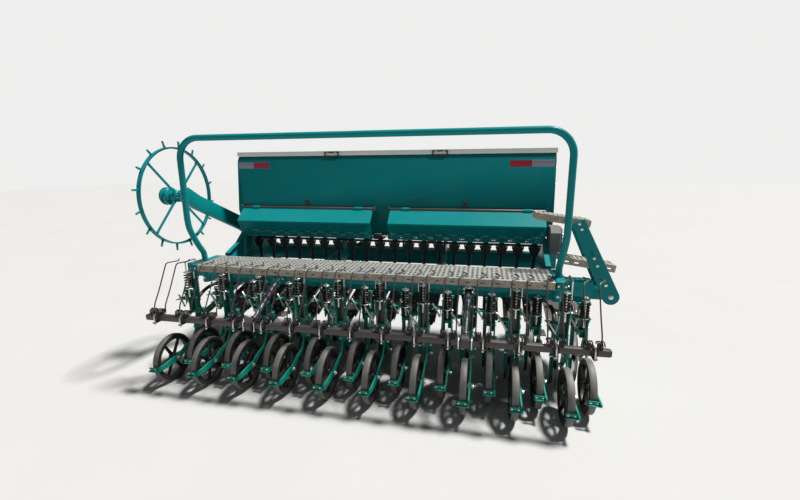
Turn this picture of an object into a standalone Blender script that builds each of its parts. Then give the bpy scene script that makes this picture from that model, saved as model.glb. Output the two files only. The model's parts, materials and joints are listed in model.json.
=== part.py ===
"""A mounted twenty-row seed drill, standing on its press wheels and two parking stands.

Metres, +Z up, +Y the way it travels, +X its right side. The frame's origin lies on the
ground under the middle of the machine. Sizes below are laid out from the machine's centre
plane and a working line across the ground, a little behind the rear row's wheel axles.
"""
import bpy
import bmesh
from math import atan2, cos, pi, radians, sin, tan
from mathutils import Matrix, Vector

# ---------------------------------------------------------------- clearances
TOUCH = 0.0003          # between two nodes that rest on each other
PIN_FIT = 0.0004        # radial play of a pin in its bore
SINK = 0.002            # how far joined shapes reach into each other

# ---------------------------------------------------------------- rows
ROWS = 20
ROW_PITCH = 0.15
STAGGER = 0.15          # the front row's lead over the rear row

# press wheels and their arms
WHEEL_RADIUS = 0.17
AXLE_Y = 0.045          # rear row's wheel axles
WHEEL_WIDTH = 0.045
TYRE_DEPTH = 0.030
WHEEL_HUB_RADIUS = 0.032
WHEEL_HUB_WIDTH = 0.044
WHEEL_SPOKES = 6
SPOKE_WIDTH = 0.022
SPOKE_THICKNESS = 0.014
AXLE_RADIUS = 0.010
ARM_OFFSET = 0.030      # row's middle to the arm's inner face
ARM_THICKNESS = 0.010
ARM_WIDTH = 0.042
EYE_Y, EYE_Z = 0.29, 0.315
SCRAPER_GAP = 0.010     # tread to the scraper's edge
SCRAPER_DROP = 0.008    # scraper's middle under the axle

# opener discs
DISC_RADIUS = 0.175
DISC_THICKNESS = 0.005
DISC_HUB_RADIUS = 0.042
DISC_HUB_WIDTH = 0.030
DISC_Y = 0.42
DISC_LIFT = 0.008       # disc's edge above the ground when parked
DISC_ANGLE = radians(5)

# coulter towers, springs, boots and drag arms
TOWER_Y = 0.315
TOWER_DEPTH = 0.05
TOWER_WIDTH = 0.05
TOWER_FOOT_Z = 0.40
SPRING_RADIUS = 0.021
BOOT_WIDTH = 0.025
BOOT_DEPTH = 0.032
BOOT_OFFSET = 0.0325
BOOT_Y = 0.40
BOOT_FOOT_Z = 0.05
BOOT_TOP_Z = 0.44
DRAG_ARM_WIDTH = 0.024
DRAG_ARM_HEIGHT = 0.045

# ---------------------------------------------------------------- frame
BEAM_HALF = 1.44        # half length of the rear beam
BEAM_SIZE = 0.10
BEAM_Y, BEAM_Z = 0.36, 0.76
FRONT_BEAM_HALF = 1.43
FRONT_BEAM_SIZE = 0.08
FRONT_BEAM_Y, FRONT_BEAM_Z = 0.52, 0.66
COULTER_BAR_SIZE = 0.06
COULTER_BAR_Y, COULTER_BAR_Z = 0.95, 0.50
TOOLBAR_HALF = 1.36
TOOLBAR_SIZE = 0.12
TOOLBAR_Y, TOOLBAR_Z = 1.25, 0.72
RAIL_X = (1.20, 0.45)   # longitudinal rails, each side of the middle
RAIL_HEIGHT = 0.10
RAIL_THICKNESS = 0.02
CRADLE_THICKNESS = 0.012

# three-point headstock
LINK_HALF = 0.4125
LINK_Y, LINK_Z = 1.47, 0.52
LINK_PLATE = 0.016
LINK_GAP = 0.07
MAST_Y, MAST_Z = 1.50, 1.13
MAST_GAP = 0.06
MAST_PLATE = 0.016

# ---------------------------------------------------------------- hopper
HOPPER_HALF = 1.245
HOPPER_TOP_Z = 1.60
SHEET = 0.003
RIM_WIDTH = 0.022
HOPPER_SIDE = (         # the rear edge round to the front, seen from the side (Y, Z)
    (0.810, HOPPER_TOP_Z), (0.785, 1.560), (0.745, 1.170), (0.790, 1.000),
    (0.930, 1.000), (1.420, 1.290), (1.420, HOPPER_TOP_Z),
)
LID_HALF = 1.252
LID_REAR_Y, LID_FRONT_Y = 0.800, 1.428
LID_HEIGHT = 0.034
LID_HINGE_X = (-0.9, 0.0, 0.9)
LID_HINGE_OUT = 0.012
LID_PIN_RADIUS = 0.005

METER_HALF = 1.165
METER_Y0, METER_Y1 = 0.800, 0.920
METER_Z0, METER_Z1 = 0.925, 1.000
METER_SHARE = 0.8       # outlet spacing over row spacing
HOSE_RADIUS = 0.0145
GEARBOX = (0.09, 0.15, 0.20)
GEARBOX_Y, GEARBOX_Z = 0.60, 0.90

# metering guards
GUARD_PIPE_Y, GUARD_PIPE_Z = 0.722, 1.194
GUARD_PIPE_RADIUS = 0.011
GUARD_LIP_Y, GUARD_LIP_Z = 0.618, 1.097
GUARD_FOOT_Y, GUARD_FOOT_Z = 0.690, 0.965
GUARD_SHEET = 0.003
GUARD_ENDS = ((-1.185, -0.077), (0.057, 1.185))
GUARD_EAR = 0.006

# ---------------------------------------------------------------- platform and rail
PLATFORM_HALF = 1.18
PLATFORM_Y0, PLATFORM_Y1 = 0.09, 0.39
PLATFORM_Z = 0.857
PLATFORM_SHEET = 0.004
BRACKET_WIDTH = 0.068
RAIL_TUBE_RADIUS = 0.020
RAIL_FOOT = (1.215, 0.23, 0.70)
RAIL_POST_X, RAIL_POST_Y = 1.225, 0.11
RAIL_TOP_Z = 1.708
RAIL_BEND = 0.14

# boarding ladder at the right end
LADDER_PIVOT_X, LADDER_PIVOT_Z = 1.550, 0.710
LADDER_Y0, LADDER_Y1 = 0.330, 0.475
LADDER_PLATE = 0.008
LADDER_HEAD = (1.325, 1.180)
LADDER_WIDTH = 0.10
LADDER_PIN_RADIUS = 0.010
TREAD_LENGTH = 0.33
TREAD_HEIGHT = 0.045
TREAD_SLOPE = radians(-8)
TREADS = ((1.235, 1.187), (1.400, 0.912))   # middle of each tread (X, Z)

# ---------------------------------------------------------------- harrow
HARROW_HALF = 1.45
HARROW_SIZE = 0.040
HARROW_Y, HARROW_Z = -0.096, 0.534
TINES = 15
TINE_PITCH = 0.195
TINE_FIRST_X = -1.365
TINE_RADIUS = 0.005
TINE_GAP = 0.10
COIL_RADIUS = 0.024
TIP_LENGTH = 0.11
CARRIER_X = 0.68
CARRIER_SIZE = 0.045
CARRIER_COLLAR = 0.012

# ---------------------------------------------------------------- land wheel, left side
LAND_PIVOT_Y, LAND_PIVOT_Z = 0.98, 0.97
LAND_ARM_IN_X = -1.30
LAND_HUB_X, LAND_HUB_Y, LAND_HUB_Z = -1.58, 0.465, 1.30
LAND_ARM_OUT_X = -1.515
LAND_ARM_WIDTH = 0.05
LAND_ARM_HEIGHT = 0.11
LAND_PIVOT_RADIUS = 0.025
LAND_AXLE_RADIUS = 0.016
LAND_RIM_RADIUS = 0.371
LAND_RIM_DEPTH = 0.012
LAND_RIM_WIDTH = 0.030
LAND_SPOKES = 4
LAND_SPIKES = 16
LAND_SPIKE_LENGTH = 0.050
LAND_HUB_RADIUS = 0.045
LAND_CAP_RADIUS = 0.062

# ---------------------------------------------------------------- parking stands
STAND_X = 1.25
STAND_GAP = 0.006       # toolbar's face to the leg
STAND_SIZE = 0.05
STAND_PIVOT_Z = 0.70
STAND_LEAN = 0.03       # the foot stands outside its pivot, so weight holds the stop
STAND_PIN_RADIUS = 0.012
STAND_FOOT = 0.13
STAND_FOOT_THICKNESS = 0.012

# ---------------------------------------------------------------- the frame's origin
LEFT_END = LAND_HUB_X - 0.10
RIGHT_END = LADDER_PIVOT_X + LADDER_WIDTH / 2
REAR_END = -0.153
FRONT_END = MAST_Y + 0.05
ORIGIN_X = (LEFT_END + RIGHT_END) / 2
ORIGIN_Y = (REAR_END + FRONT_END) / 2

# node name, colour (linear), metallic, roughness
PAINT = {
    "green": ((0.0, 0.155, 0.145), 0.1, 0.38),
    "black": ((0.020, 0.021, 0.023), 0.0, 0.55),
    "grey": ((0.07, 0.065, 0.068), 0.4, 0.5),
    "galvanised": ((0.42, 0.42, 0.40), 0.9, 0.42),
    "white": ((0.62, 0.64, 0.62), 0.0, 0.35),
    "steel": ((0.45, 0.45, 0.46), 1.0, 0.3),
    "tyre": ((0.025, 0.025, 0.026), 0.0, 0.75),
    "hose": ((0.012, 0.012, 0.013), 0.0, 0.6),
}


# ================================================================ modelling helpers
def clear_scene():
    for thing in list(bpy.data.objects):
        bpy.data.objects.remove(thing, do_unlink=True)


def material(name):
    found = bpy.data.materials.get(name)
    if found:
        return found
    colour, metallic, roughness = PAINT[name]
    made = bpy.data.materials.new(name)
    made.use_nodes = True
    shader = made.node_tree.nodes["Principled BSDF"]
    shader.inputs["Base Color"].default_value = (*colour, 1)
    shader.inputs["Metallic"].default_value = metallic
    shader.inputs["Roughness"].default_value = roughness
    made.diffuse_color = (*colour, 1)
    return made


def solid(bm):
    """A scratch object from a bmesh whose faces are made to point out."""
    bmesh.ops.recalc_face_normals(bm, faces=bm.faces)
    mesh = bpy.data.meshes.new("solid")
    bm.to_mesh(mesh)
    bm.free()
    thing = bpy.data.objects.new("solid", mesh)
    bpy.context.scene.collection.objects.link(thing)
    return thing


def loft(rings):
    """A closed solid through rings of equal point counts."""
    bm = bmesh.new()
    loops = [[bm.verts.new(p) for p in ring] for ring in rings]
    count = len(loops[0])
    for one, two in zip(loops, loops[1:]):
        for i in range(count):
            j = (i + 1) % count
            bm.faces.new((one[i], one[j], two[j], two[i]))
    bm.faces.new(loops[0])
    bm.faces.new(reversed(loops[-1]))
    return solid(bm)


AXES = {"X": (1, 2, 0), "Y": (2, 0, 1), "Z": (0, 1, 2)}


def prism(axis, outline, low, high):
    """An outline drawn in the plane across an axis, extruded from low to high along it.

    The outline's pairs are (Y, Z) across X, (X, Z) across Y and (X, Y) across Z.
    """
    def point(pair, along):
        u, v = pair
        return {"X": (along, u, v), "Y": (u, along, v), "Z": (u, v, along)}[axis]
    return loft([[point(p, low) for p in outline], [point(p, high) for p in outline]])


def box(x0, x1, y0, y1, z0, z1):
    return prism("Z", ((x0, y0), (x1, y0), (x1, y1), (x0, y1)), z0, z1)


def circle(u, v, radius, sides, turn=0.0):
    return [(u + radius * cos(turn + 2 * pi * i / sides),
             v + radius * sin(turn + 2 * pi * i / sides)) for i in range(sides)]


def rod(axis, u, v, radius, low, high, sides=8):
    return prism(axis, circle(u, v, radius, sides, pi / sides), low, high)


def bore(axis, u, v, pin_radius, low, high, sides=8):
    """A cutter that leaves the pin its running play, whatever their facets do."""
    return prism(axis, circle(u, v, (pin_radius + PIN_FIT) / cos(pi / sides), sides), low, high)


def strip(points, width):
    """The outline of a flat bar of even width along a run of points in a plane."""
    pts = [Vector(p) for p in points]
    left, right = [], []
    for i, p in enumerate(pts):
        before = (p - pts[i - 1]).normalized() if i else None
        after = (pts[i + 1] - p).normalized() if i < len(pts) - 1 else None
        along = ((before or after) + (after or before)).normalized()
        across = Vector((-along.y, along.x))
        reach = width / 2 / max(0.5, along.dot(after or before))
        left.append(p + across * reach)
        right.append(p - across * reach)
    return [tuple(p) for p in left + right[::-1]]


def tube(points, radius, sides=8):
    """A round bar along a run of points, with mitred corners."""
    pts = [Vector(p) for p in points]
    rings = []
    side = None
    for i, p in enumerate(pts):
        before = (p - pts[i - 1]).normalized() if i else None
        after = (pts[i + 1] - p).normalized() if i < len(pts) - 1 else None
        along = ((before or after) + (after or before)).normalized()
        if side is None:
            side = along.orthogonal().normalized()
        side = (side - along * side.dot(along)).normalized()
        up = along.cross(side)
        rings.append([p + side * radius * cos(2 * pi * k / sides)
                      + up * radius * sin(2 * pi * k / sides) for k in range(sides)])
    return loft(rings)


def smooth(points, steps):
    """Points along a Catmull-Rom curve through the given ones."""
    pts = [Vector(p) for p in points]
    ends = [2 * pts[0] - pts[1]] + pts + [2 * pts[-1] - pts[-2]]
    run = []
    for i in range(len(pts) - 1):
        a, b, c, d = ends[i:i + 4]
        for k in range(steps):
            t = k / steps
            run.append(0.5 * (2 * b + (c - a) * t + (2 * a - 5 * b + 4 * c - d) * t * t
                              + (3 * b - a - 3 * c + d) * t ** 3))
    return run + [pts[-1]]


def group(name, things):
    made = bpy.data.collections.new(name)
    for thing in things:
        bpy.context.scene.collection.objects.unlink(thing)
        made.objects.link(thing)
    return made


def settle(thing):
    """Keep what the modifiers make, as one plain mesh."""
    graph = bpy.context.evaluated_depsgraph_get()
    mesh = bpy.data.meshes.new_from_object(thing.evaluated_get(graph))
    thing.modifiers.clear()
    thing.data = mesh


def carve(base, operation, others):
    if not others:
        return
    tools = group("tools", others)
    step = base.modifiers.new(operation, "BOOLEAN")
    step.operation = operation
    step.operand_type = "COLLECTION"
    step.collection = tools
    step.solver = "EXACT"
    settle(base)
    for thing in others:
        bpy.data.objects.remove(thing, do_unlink=True)
    bpy.data.collections.remove(tools)


def fuse(solids, cutters=()):
    """Join solids into one closed body, then cut its holes."""
    base = solids[0]
    carve(base, "UNION", solids[1:])
    carve(base, "DIFFERENCE", list(cutters))
    return base


def node(name, thing, paint, pivot=(0, 0, 0)):
    """Name a finished body and put its origin on its pivot."""
    thing.name = name
    thing.data.name = name
    thing.data.transform(Matrix.Translation(-Vector(pivot)))
    thing.location = pivot
    thing.data.materials.clear()
    thing.data.materials.append(material(paint))
    thing.data.shade_smooth()
    thing.data.set_sharp_from_angle(angle=radians(35))
    thing.parent = machine
    return thing


def copy_node(name, source, pivot, turn=0.0):
    thing = bpy.data.objects.new(name, source.data)
    bpy.context.scene.collection.objects.link(thing)
    thing.location = pivot
    thing.rotation_euler = (0, 0, turn)
    thing.parent = machine
    return thing


# ================================================================ rows
def row_places():
    """(name, X, lead) of each row, the rear ones first from the left end."""
    first = -ROW_PITCH * (ROWS - 1) / 2
    places = []
    for k in range(ROWS):
        row, lead = ("front", STAGGER) if k % 2 else ("rear", 0.0)
        places.append((f"{row}_{k // 2 + 1:02d}", first + k * ROW_PITCH, lead))
    return places


def press_wheel():
    """A spoked wheel with a flat-topped tyre, about the X axis, on one facet."""
    sides = 16
    turn = pi / sides - pi / 2
    outer = WHEEL_RADIUS / cos(pi / sides)
    inner = outer - TYRE_DEPTH
    half = WHEEL_WIDTH / 2
    tyre = fuse([prism("X", circle(0, 0, outer, sides, turn), -half, half)],
                [prism("X", circle(0, 0, inner, sides, turn), -half - SINK, half + SINK)])
    hub = rod("X", 0, 0, WHEEL_HUB_RADIUS, -WHEEL_HUB_WIDTH / 2, WHEEL_HUB_WIDTH / 2, 6)
    spokes = []
    for k in range(WHEEL_SPOKES):
        angle = 2 * pi * k / WHEEL_SPOKES
        ends = ((0.4 * WHEEL_HUB_RADIUS * cos(angle), 0.4 * WHEEL_HUB_RADIUS * sin(angle)),
                ((inner + 0.01) * cos(angle), (inner + 0.01) * sin(angle)))
        spokes.append(prism("X", strip(ends, SPOKE_WIDTH),
                            -SPOKE_THICKNESS / 2, SPOKE_THICKNESS / 2))
    return fuse([tyre, hub] + spokes)


def opener_disc():
    """A flat disc with a hub, about the X axis."""
    half = DISC_THICKNESS / 2
    blade = rod("X", 0, 0, DISC_RADIUS, -half, half, 18)
    hub = rod("X", 0, 0, DISC_HUB_RADIUS, -DISC_HUB_WIDTH / 2, DISC_HUB_WIDTH / 2, 6)
    return fuse([blade, hub])


def disc_turn(k):
    return DISC_ANGLE if k % 4 < 2 else -DISC_ANGLE


def coulter_unit(k, x, lead, carrier_z, arm_end_y):
    """One row's plates and arms, hung from its beam: the fixed pieces of the row."""
    inner = x + ARM_OFFSET
    outer = inner + ARM_THICKNESS
    disc_z = DISC_RADIUS + DISC_LIFT
    half = ARM_WIDTH / 2
    hub = DISC_HUB_RADIUS * 0.8
    scraper_y = AXLE_Y - WHEEL_RADIUS - SCRAPER_GAP - 0.018
    scraper_z = WHEEL_RADIUS - SCRAPER_DROP
    plate = prism("X", [(y + lead, z) for y, z in (
        (scraper_y, scraper_z - 0.016), (AXLE_Y - 0.090, scraper_z - 0.018),
        (AXLE_Y + 0.010, WHEEL_RADIUS - half), (AXLE_Y + 0.105, WHEEL_RADIUS + 0.024),
        (EYE_Y, EYE_Z - half), (DISC_Y - hub, disc_z), (DISC_Y, disc_z - hub),
        (DISC_Y + hub, disc_z), (EYE_Y + 0.075, EYE_Z + 0.05),
        (TOWER_Y + 0.024, TOWER_FOOT_Z + 0.06),
        (TOWER_Y - 0.024, TOWER_FOOT_Z + 0.06), (EYE_Y - 0.030, EYE_Z + 0.010),
        (AXLE_Y + 0.085, WHEEL_RADIUS + 0.068), (AXLE_Y - 0.012, WHEEL_RADIUS + half),
        (AXLE_Y - 0.095, scraper_z + 0.022), (scraper_y, scraper_z + 0.016))], inner, outer)
    axle = rod("X", lead + AXLE_Y, WHEEL_RADIUS, AXLE_RADIUS, x + WHEEL_HUB_WIDTH / 2 + TOUCH,
               inner + SINK, 6)
    slant = Matrix.Translation((x, DISC_Y + lead, disc_z)) @ Matrix.Rotation(disc_turn(k), 4, "Z")
    stub = rod("X", 0, 0, AXLE_RADIUS, DISC_HUB_WIDTH / 2 + TOUCH, ARM_OFFSET + 0.004, 6)
    stub.data.transform(slant)
    scraper = box(x - 0.032, inner + SINK, lead + scraper_y + 0.0005, lead + scraper_y + 0.018,
                  scraper_z - 0.012, scraper_z + 0.012)
    tower = box(x - TOWER_WIDTH / 2, outer - SINK, lead + TOWER_Y - TOWER_DEPTH / 2,
                lead + TOWER_Y + TOWER_DEPTH / 2, TOWER_FOOT_Z, carrier_z + 0.004)
    spring_y = TOWER_Y + TOWER_DEPTH / 2 + SPRING_RADIUS - 0.006
    spring = rod("Z", x + 0.006, lead + spring_y, SPRING_RADIUS, TOWER_FOOT_Z + 0.09,
                 carrier_z - 0.05, 5)
    boot_x = x - BOOT_OFFSET
    boot = box(boot_x - BOOT_WIDTH / 2, boot_x + BOOT_WIDTH / 2, lead + BOOT_Y - BOOT_DEPTH / 2,
               lead + BOOT_Y + BOOT_DEPTH / 2, BOOT_FOOT_Z, BOOT_TOP_Z)
    shelf = box(boot_x, inner + SINK, lead + TOWER_Y, lead + BOOT_Y,
                BOOT_TOP_Z - 0.034, BOOT_TOP_Z - 0.012)
    start = (lead + DISC_Y - 0.06, 0.370)
    end = (arm_end_y, COULTER_BAR_Z)
    rise = DRAG_ARM_HEIGHT / 2
    drag = prism("X", ((start[0], start[1] - rise), (end[0], end[1] - rise),
                       (end[0], end[1] + rise), (start[0], start[1] + rise)),
                 x + ARM_OFFSET - DRAG_ARM_WIDTH, x + ARM_OFFSET + SINK)
    return [plate, axle, stub, scraper, tower, spring, boot, shelf, drag]


def platform_gussets():
    """Cantilever brackets that carry the tread plate off the rear beam."""
    outline = ((PLATFORM_Y0 + 0.01, PLATFORM_Z - PLATFORM_SHEET - TOUCH),
               (BEAM_Y, PLATFORM_Z - PLATFORM_SHEET - TOUCH),
               (BEAM_Y, BEAM_Z), (BEAM_Y - BEAM_SIZE / 2, BEAM_Z - 0.02),
               (PLATFORM_Y0 + 0.01, PLATFORM_Z - 0.04))
    return [prism("X", outline, x - 0.005, x + 0.005) for x in (-1.12, -0.38, 0.38, 1.12)]


def end_brackets():
    """Side boxes at the platform's ends, with the sockets of the guard rail."""
    pieces, holes = [], []
    for side in (-1, 1):
        near = PLATFORM_HALF + 0.003
        x0, x1 = sorted((side * near, side * (near + BRACKET_WIDTH)))
        pieces.append(box(x0, x1, PLATFORM_Y0 + 0.005, BEAM_Y + BEAM_SIZE / 2 - 0.004,
                          BEAM_Z + 0.02, PLATFORM_Z - 0.002))
        foot_x, foot_y, foot_z = side * RAIL_FOOT[0], RAIL_FOOT[1], RAIL_FOOT[2]
        pieces.append(rod("Z", foot_x, foot_y, RAIL_TUBE_RADIUS + 0.007, foot_z,
                          PLATFORM_Z - 0.01, 12))
        holes.append(rod("Z", foot_x, foot_y, (RAIL_TUBE_RADIUS + TOUCH) / cos(pi / 12),
                         foot_z - SINK, PLATFORM_Z + 0.1, 12))
    return pieces, holes


def harrow_carriers():
    """Two arms that hang the harrow bar behind the beam, ending in round collars."""
    pieces, holes = [], []
    ring = collar_radius() + CARRIER_COLLAR
    for side in (-1, 1):
        x = side * CARRIER_X
        half = CARRIER_SIZE / 2
        line = strip(((BEAM_Y - 0.03, BEAM_Z - 0.02), (HARROW_Y, HARROW_Z)), CARRIER_SIZE)
        pieces.append(prism("X", line, x - half, x + half))
        pieces.append(rod("X", HARROW_Y, HARROW_Z, ring, x - half, x + half, 16))
        holes.append(rod("X", HARROW_Y, HARROW_Z, collar_radius(), x - half - SINK,
                         x + half + SINK, 16))
    return pieces, holes


def collar_radius():
    """Bore of a collar in which the square harrow bar turns on its corners."""
    return (HARROW_SIZE / 2 * 2 ** 0.5 + PIN_FIT) / cos(pi / 16)


def ladder_lug():
    """The beam's end block and the pin that the ladder turns on."""
    end = BEAM_HALF - 0.01
    y0, y1 = LADDER_Y0 + LADDER_PLATE + TOUCH, LADDER_Y1 - LADDER_PLATE - TOUCH
    block = box(end, LADDER_PIVOT_X + 0.022, y0, y1, LADDER_PIVOT_Z - 0.022,
                LADDER_PIVOT_Z + 0.045)
    pin = rod("Y", LADDER_PIVOT_X, LADDER_PIVOT_Z, LADDER_PIN_RADIUS, LADDER_Y0 - 0.006,
              LADDER_Y1 + 0.006)
    return [block, pin]


def rear_coulter_row(places):
    half = BEAM_SIZE / 2
    pieces = [box(-BEAM_HALF, BEAM_HALF, BEAM_Y - half, BEAM_Y + half, BEAM_Z - half,
                  BEAM_Z + half)]
    bar_rear = COULTER_BAR_Y - COULTER_BAR_SIZE / 2
    for k, (name, x, lead) in enumerate(places):
        if not lead:
            pieces += coulter_unit(k, x, lead, BEAM_Z - half, bar_rear - TOUCH)
    brackets, sockets = end_brackets()
    carriers, collars = harrow_carriers()
    pieces += platform_gussets() + brackets + carriers + ladder_lug()
    node("rear_coulter_row", fuse(pieces, sockets + collars), "green")


def front_coulter_row(places):
    half = FRONT_BEAM_SIZE / 2
    bar = COULTER_BAR_SIZE / 2
    pieces = [box(-FRONT_BEAM_HALF, FRONT_BEAM_HALF, FRONT_BEAM_Y - half, FRONT_BEAM_Y + half,
                  FRONT_BEAM_Z - half, FRONT_BEAM_Z + half),
              box(-FRONT_BEAM_HALF, FRONT_BEAM_HALF, COULTER_BAR_Y - bar, COULTER_BAR_Y + bar,
                  COULTER_BAR_Z - bar, COULTER_BAR_Z + bar)]
    for k, (name, x, lead) in enumerate(places):
        if lead:
            pieces += coulter_unit(k, x, lead, FRONT_BEAM_Z - half, COULTER_BAR_Y)
    node("front_coulter_row", fuse(pieces), "green")


# ================================================================ frame
def rail_faces():
    low = FRONT_BEAM_Z + FRONT_BEAM_SIZE / 2 + TOUCH
    return low, low + RAIL_HEIGHT


def cradle_outline(whole):
    """A plate between a rail and the hopper, which it meets along the hopper's own side."""
    low = rail_faces()[1] - 0.01
    gap = TOUCH * 2
    rear_low, front_low, front_high = HOPPER_SIDE[3], HOPPER_SIDE[4], HOPPER_SIDE[5]
    slope = atan2(front_high[1] - front_low[1], front_high[0] - front_low[0])
    lean = Vector((sin(slope), -cos(slope))) * gap
    near = Vector(front_low) + lean
    far = Vector(front_high) + lean
    start = near + (far - near) * 0.06
    stop = near + (far - near) * 0.90
    front_edge = [tuple(start), tuple(stop), (stop.x, stop.y - 0.10), (1.20, low), (1.02, low)]
    if not whole:
        return front_edge
    corner = (front_low[0] + gap * tan(slope / 2), front_low[1] - gap)
    return [(rear_low[0] + 0.01, rear_low[1] - gap), corner, tuple(stop),
            (stop.x, stop.y - 0.10), (1.20, low), (0.45, low),
            (0.45, low + 0.07), (0.60, low + 0.12), (0.70, 0.99)]


def main_frame():
    half = TOOLBAR_SIZE / 2
    low, high = rail_faces()
    pieces = [box(-TOOLBAR_HALF, TOOLBAR_HALF, TOOLBAR_Y - half, TOOLBAR_Y + half,
                  TOOLBAR_Z - half, TOOLBAR_Z + half)]
    rail_rear = BEAM_Y + BEAM_SIZE / 2 + TOUCH
    bar_top = COULTER_BAR_Z + COULTER_BAR_SIZE / 2 + TOUCH
    for side in (-1, 1):
        for x, thick in zip(RAIL_X, (True, False)):
            middle = side * x
            t = RAIL_THICKNESS / 2
            c = CRADLE_THICKNESS / 2
            pieces.append(box(middle - t, middle + t, rail_rear, TOOLBAR_Y, low, high))
            pieces.append(prism("X", cradle_outline(thick), middle - c, middle + c))
            pieces.append(prism("X", ((0.90, bar_top), (1.00, bar_top), (1.10, low + SINK),
                                      (0.86, low + SINK)), middle - t, middle + t))
    pieces += land_pivot()
    pieces += stand_pins()
    node("main_frame", fuse(pieces), "green")


def land_pivot():
    """The stub shaft on the left cradle plate that the land wheel's arm turns on."""
    plate = -RAIL_X[0] - CRADLE_THICKNESS / 2 + SINK
    far = LAND_ARM_IN_X - LAND_ARM_WIDTH - 0.02
    return [rod("X", LAND_PIVOT_Y, LAND_PIVOT_Z, LAND_PIVOT_RADIUS, far, plate, 10),
            rod("X", LAND_PIVOT_Y, LAND_PIVOT_Z - 0.02, LAND_PIVOT_RADIUS + 0.02,
                LAND_ARM_IN_X + 0.012, plate, 10)]


def stand_pins():
    """Pivot pins of the parking stands, in the toolbar's front face."""
    face = TOOLBAR_Y + TOOLBAR_SIZE / 2
    return [rod("Y", side * STAND_X, STAND_PIVOT_Z, radius, face - SINK, face + reach)
            for side in (-1, 1)
            for radius, reach in ((STAND_PIN_RADIUS, STAND_GAP + STAND_SIZE + 0.015),
                                  (STAND_SIZE / 2, STAND_GAP - TOUCH))]


def headstock():
    """Three-point linkage: a mast of two plates and two pairs of lower ears."""
    front = TOOLBAR_Y + TOOLBAR_SIZE / 2 + TOUCH
    top = TOOLBAR_Z + TOOLBAR_SIZE / 2
    ears, pins = [], []
    lower = ((front, top), (front + 0.05, top), (LINK_Y + 0.045, LINK_Z + 0.05),
             (LINK_Y + 0.045, LINK_Z - 0.04), (LINK_Y - 0.045, LINK_Z - 0.05),
             (front, TOOLBAR_Z - TOOLBAR_SIZE / 2))
    mast = ((front, top + 0.02), (MAST_Y - 0.05, MAST_Z + 0.04), (MAST_Y + 0.04, MAST_Z + 0.05),
            (MAST_Y + 0.05, MAST_Z - 0.04), (front + 0.09, top - 0.06), (front, top - 0.06))
    for side in (-1, 1):
        for offset in (-LINK_GAP / 2 - LINK_PLATE, LINK_GAP / 2):
            x = side * LINK_HALF + offset
            ears.append(prism("X", lower, x, x + LINK_PLATE))
        reach = LINK_GAP / 2 + LINK_PLATE + 0.012
        pins.append(rod("X", LINK_Y, LINK_Z, 0.0145, side * LINK_HALF - reach,
                        side * LINK_HALF + reach, 8))
        x = side * (MAST_GAP + MAST_PLATE) / 2
        ears.append(prism("X", mast, x - MAST_PLATE / 2, x + MAST_PLATE / 2))
    pins.append(rod("X", MAST_Y, MAST_Z, 0.0125, -MAST_GAP / 2 - MAST_PLATE - 0.012,
                    MAST_GAP / 2 + MAST_PLATE + 0.012, 8))
    span = LINK_HALF + LINK_GAP / 2 + LINK_PLATE
    back = box(-span, span, front, front + 0.014, TOOLBAR_Z - 0.055, top)
    braces = [prism("Y", ((side * (span - 0.01), top - 0.01), (side * (span - 0.07), top - 0.01),
                          (-side * 0.06, top + 0.24), (side * 0.06, top + 0.24)),
                    front + 0.002, front + 0.012) for side in (-1, 1)]
    node("headstock", fuse([back] + braces + ears + pins), "green")


# ================================================================ hopper
def inset_side(outline, wall):
    """The hopper's side drawn a wall's thickness inside, open past the top."""
    pts = [Vector(p) for p in outline]
    inner = []
    for i in range(1, len(pts) - 1):
        before = (pts[i] - pts[i - 1]).normalized()
        after = (pts[i + 1] - pts[i]).normalized()
        normals = [Vector((-d.y, d.x)) for d in (before, after)]
        bisector = (normals[0] + normals[1]).normalized()
        inner.append(pts[i] + bisector * wall / bisector.dot(normals[0]))
    return inner


def hopper():
    outer = prism("X", HOPPER_SIDE, -HOPPER_HALF, HOPPER_HALF)
    inner = inset_side(HOPPER_SIDE, SHEET)
    deck = HOPPER_TOP_Z - SHEET
    rear = HOPPER_SIDE[0][0] + SHEET
    front = HOPPER_SIDE[-1][0] - SHEET
    room = [(rear, deck)] + [tuple(p) for p in inner] + [(front, deck)]
    cuts = [prism("X", room, -HOPPER_HALF + SHEET, HOPPER_HALF - SHEET),
            box(-HOPPER_HALF + RIM_WIDTH, HOPPER_HALF - RIM_WIDTH,
                HOPPER_SIDE[0][0] + RIM_WIDTH, HOPPER_SIDE[-1][0] - RIM_WIDTH,
                deck - 0.02, HOPPER_TOP_Z + 0.02)]
    body = fuse([outer], cuts)
    body = fuse([body] + guard_ears() + lid_ears(), guard_bores())
    node("hopper", body, "green")


def guard_ears():
    """Plates on the hopper's rear face that hold the guards' hinge pipes."""
    ears = []
    for low, high in GUARD_ENDS:
        for x in (low - 0.008 - GUARD_EAR, high + 0.008):
            outline = ((GUARD_PIPE_Y - 0.018, GUARD_PIPE_Z - 0.020),
                       (GUARD_PIPE_Y + 0.032, GUARD_PIPE_Z - 0.020),
                       (GUARD_PIPE_Y + 0.032, GUARD_PIPE_Z + 0.022),
                       (GUARD_PIPE_Y - 0.018, GUARD_PIPE_Z + 0.022))
            ears.append(prism("X", outline, x, x + GUARD_EAR))
    return ears


def guard_bores():
    return [bore("X", GUARD_PIPE_Y, GUARD_PIPE_Z, GUARD_PIPE_RADIUS, low - 0.03, high + 0.03)
            for low, high in GUARD_ENDS]


def lid_axis():
    return HOPPER_SIDE[-1][0] + LID_HINGE_OUT + 0.008, HOPPER_TOP_Z


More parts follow.
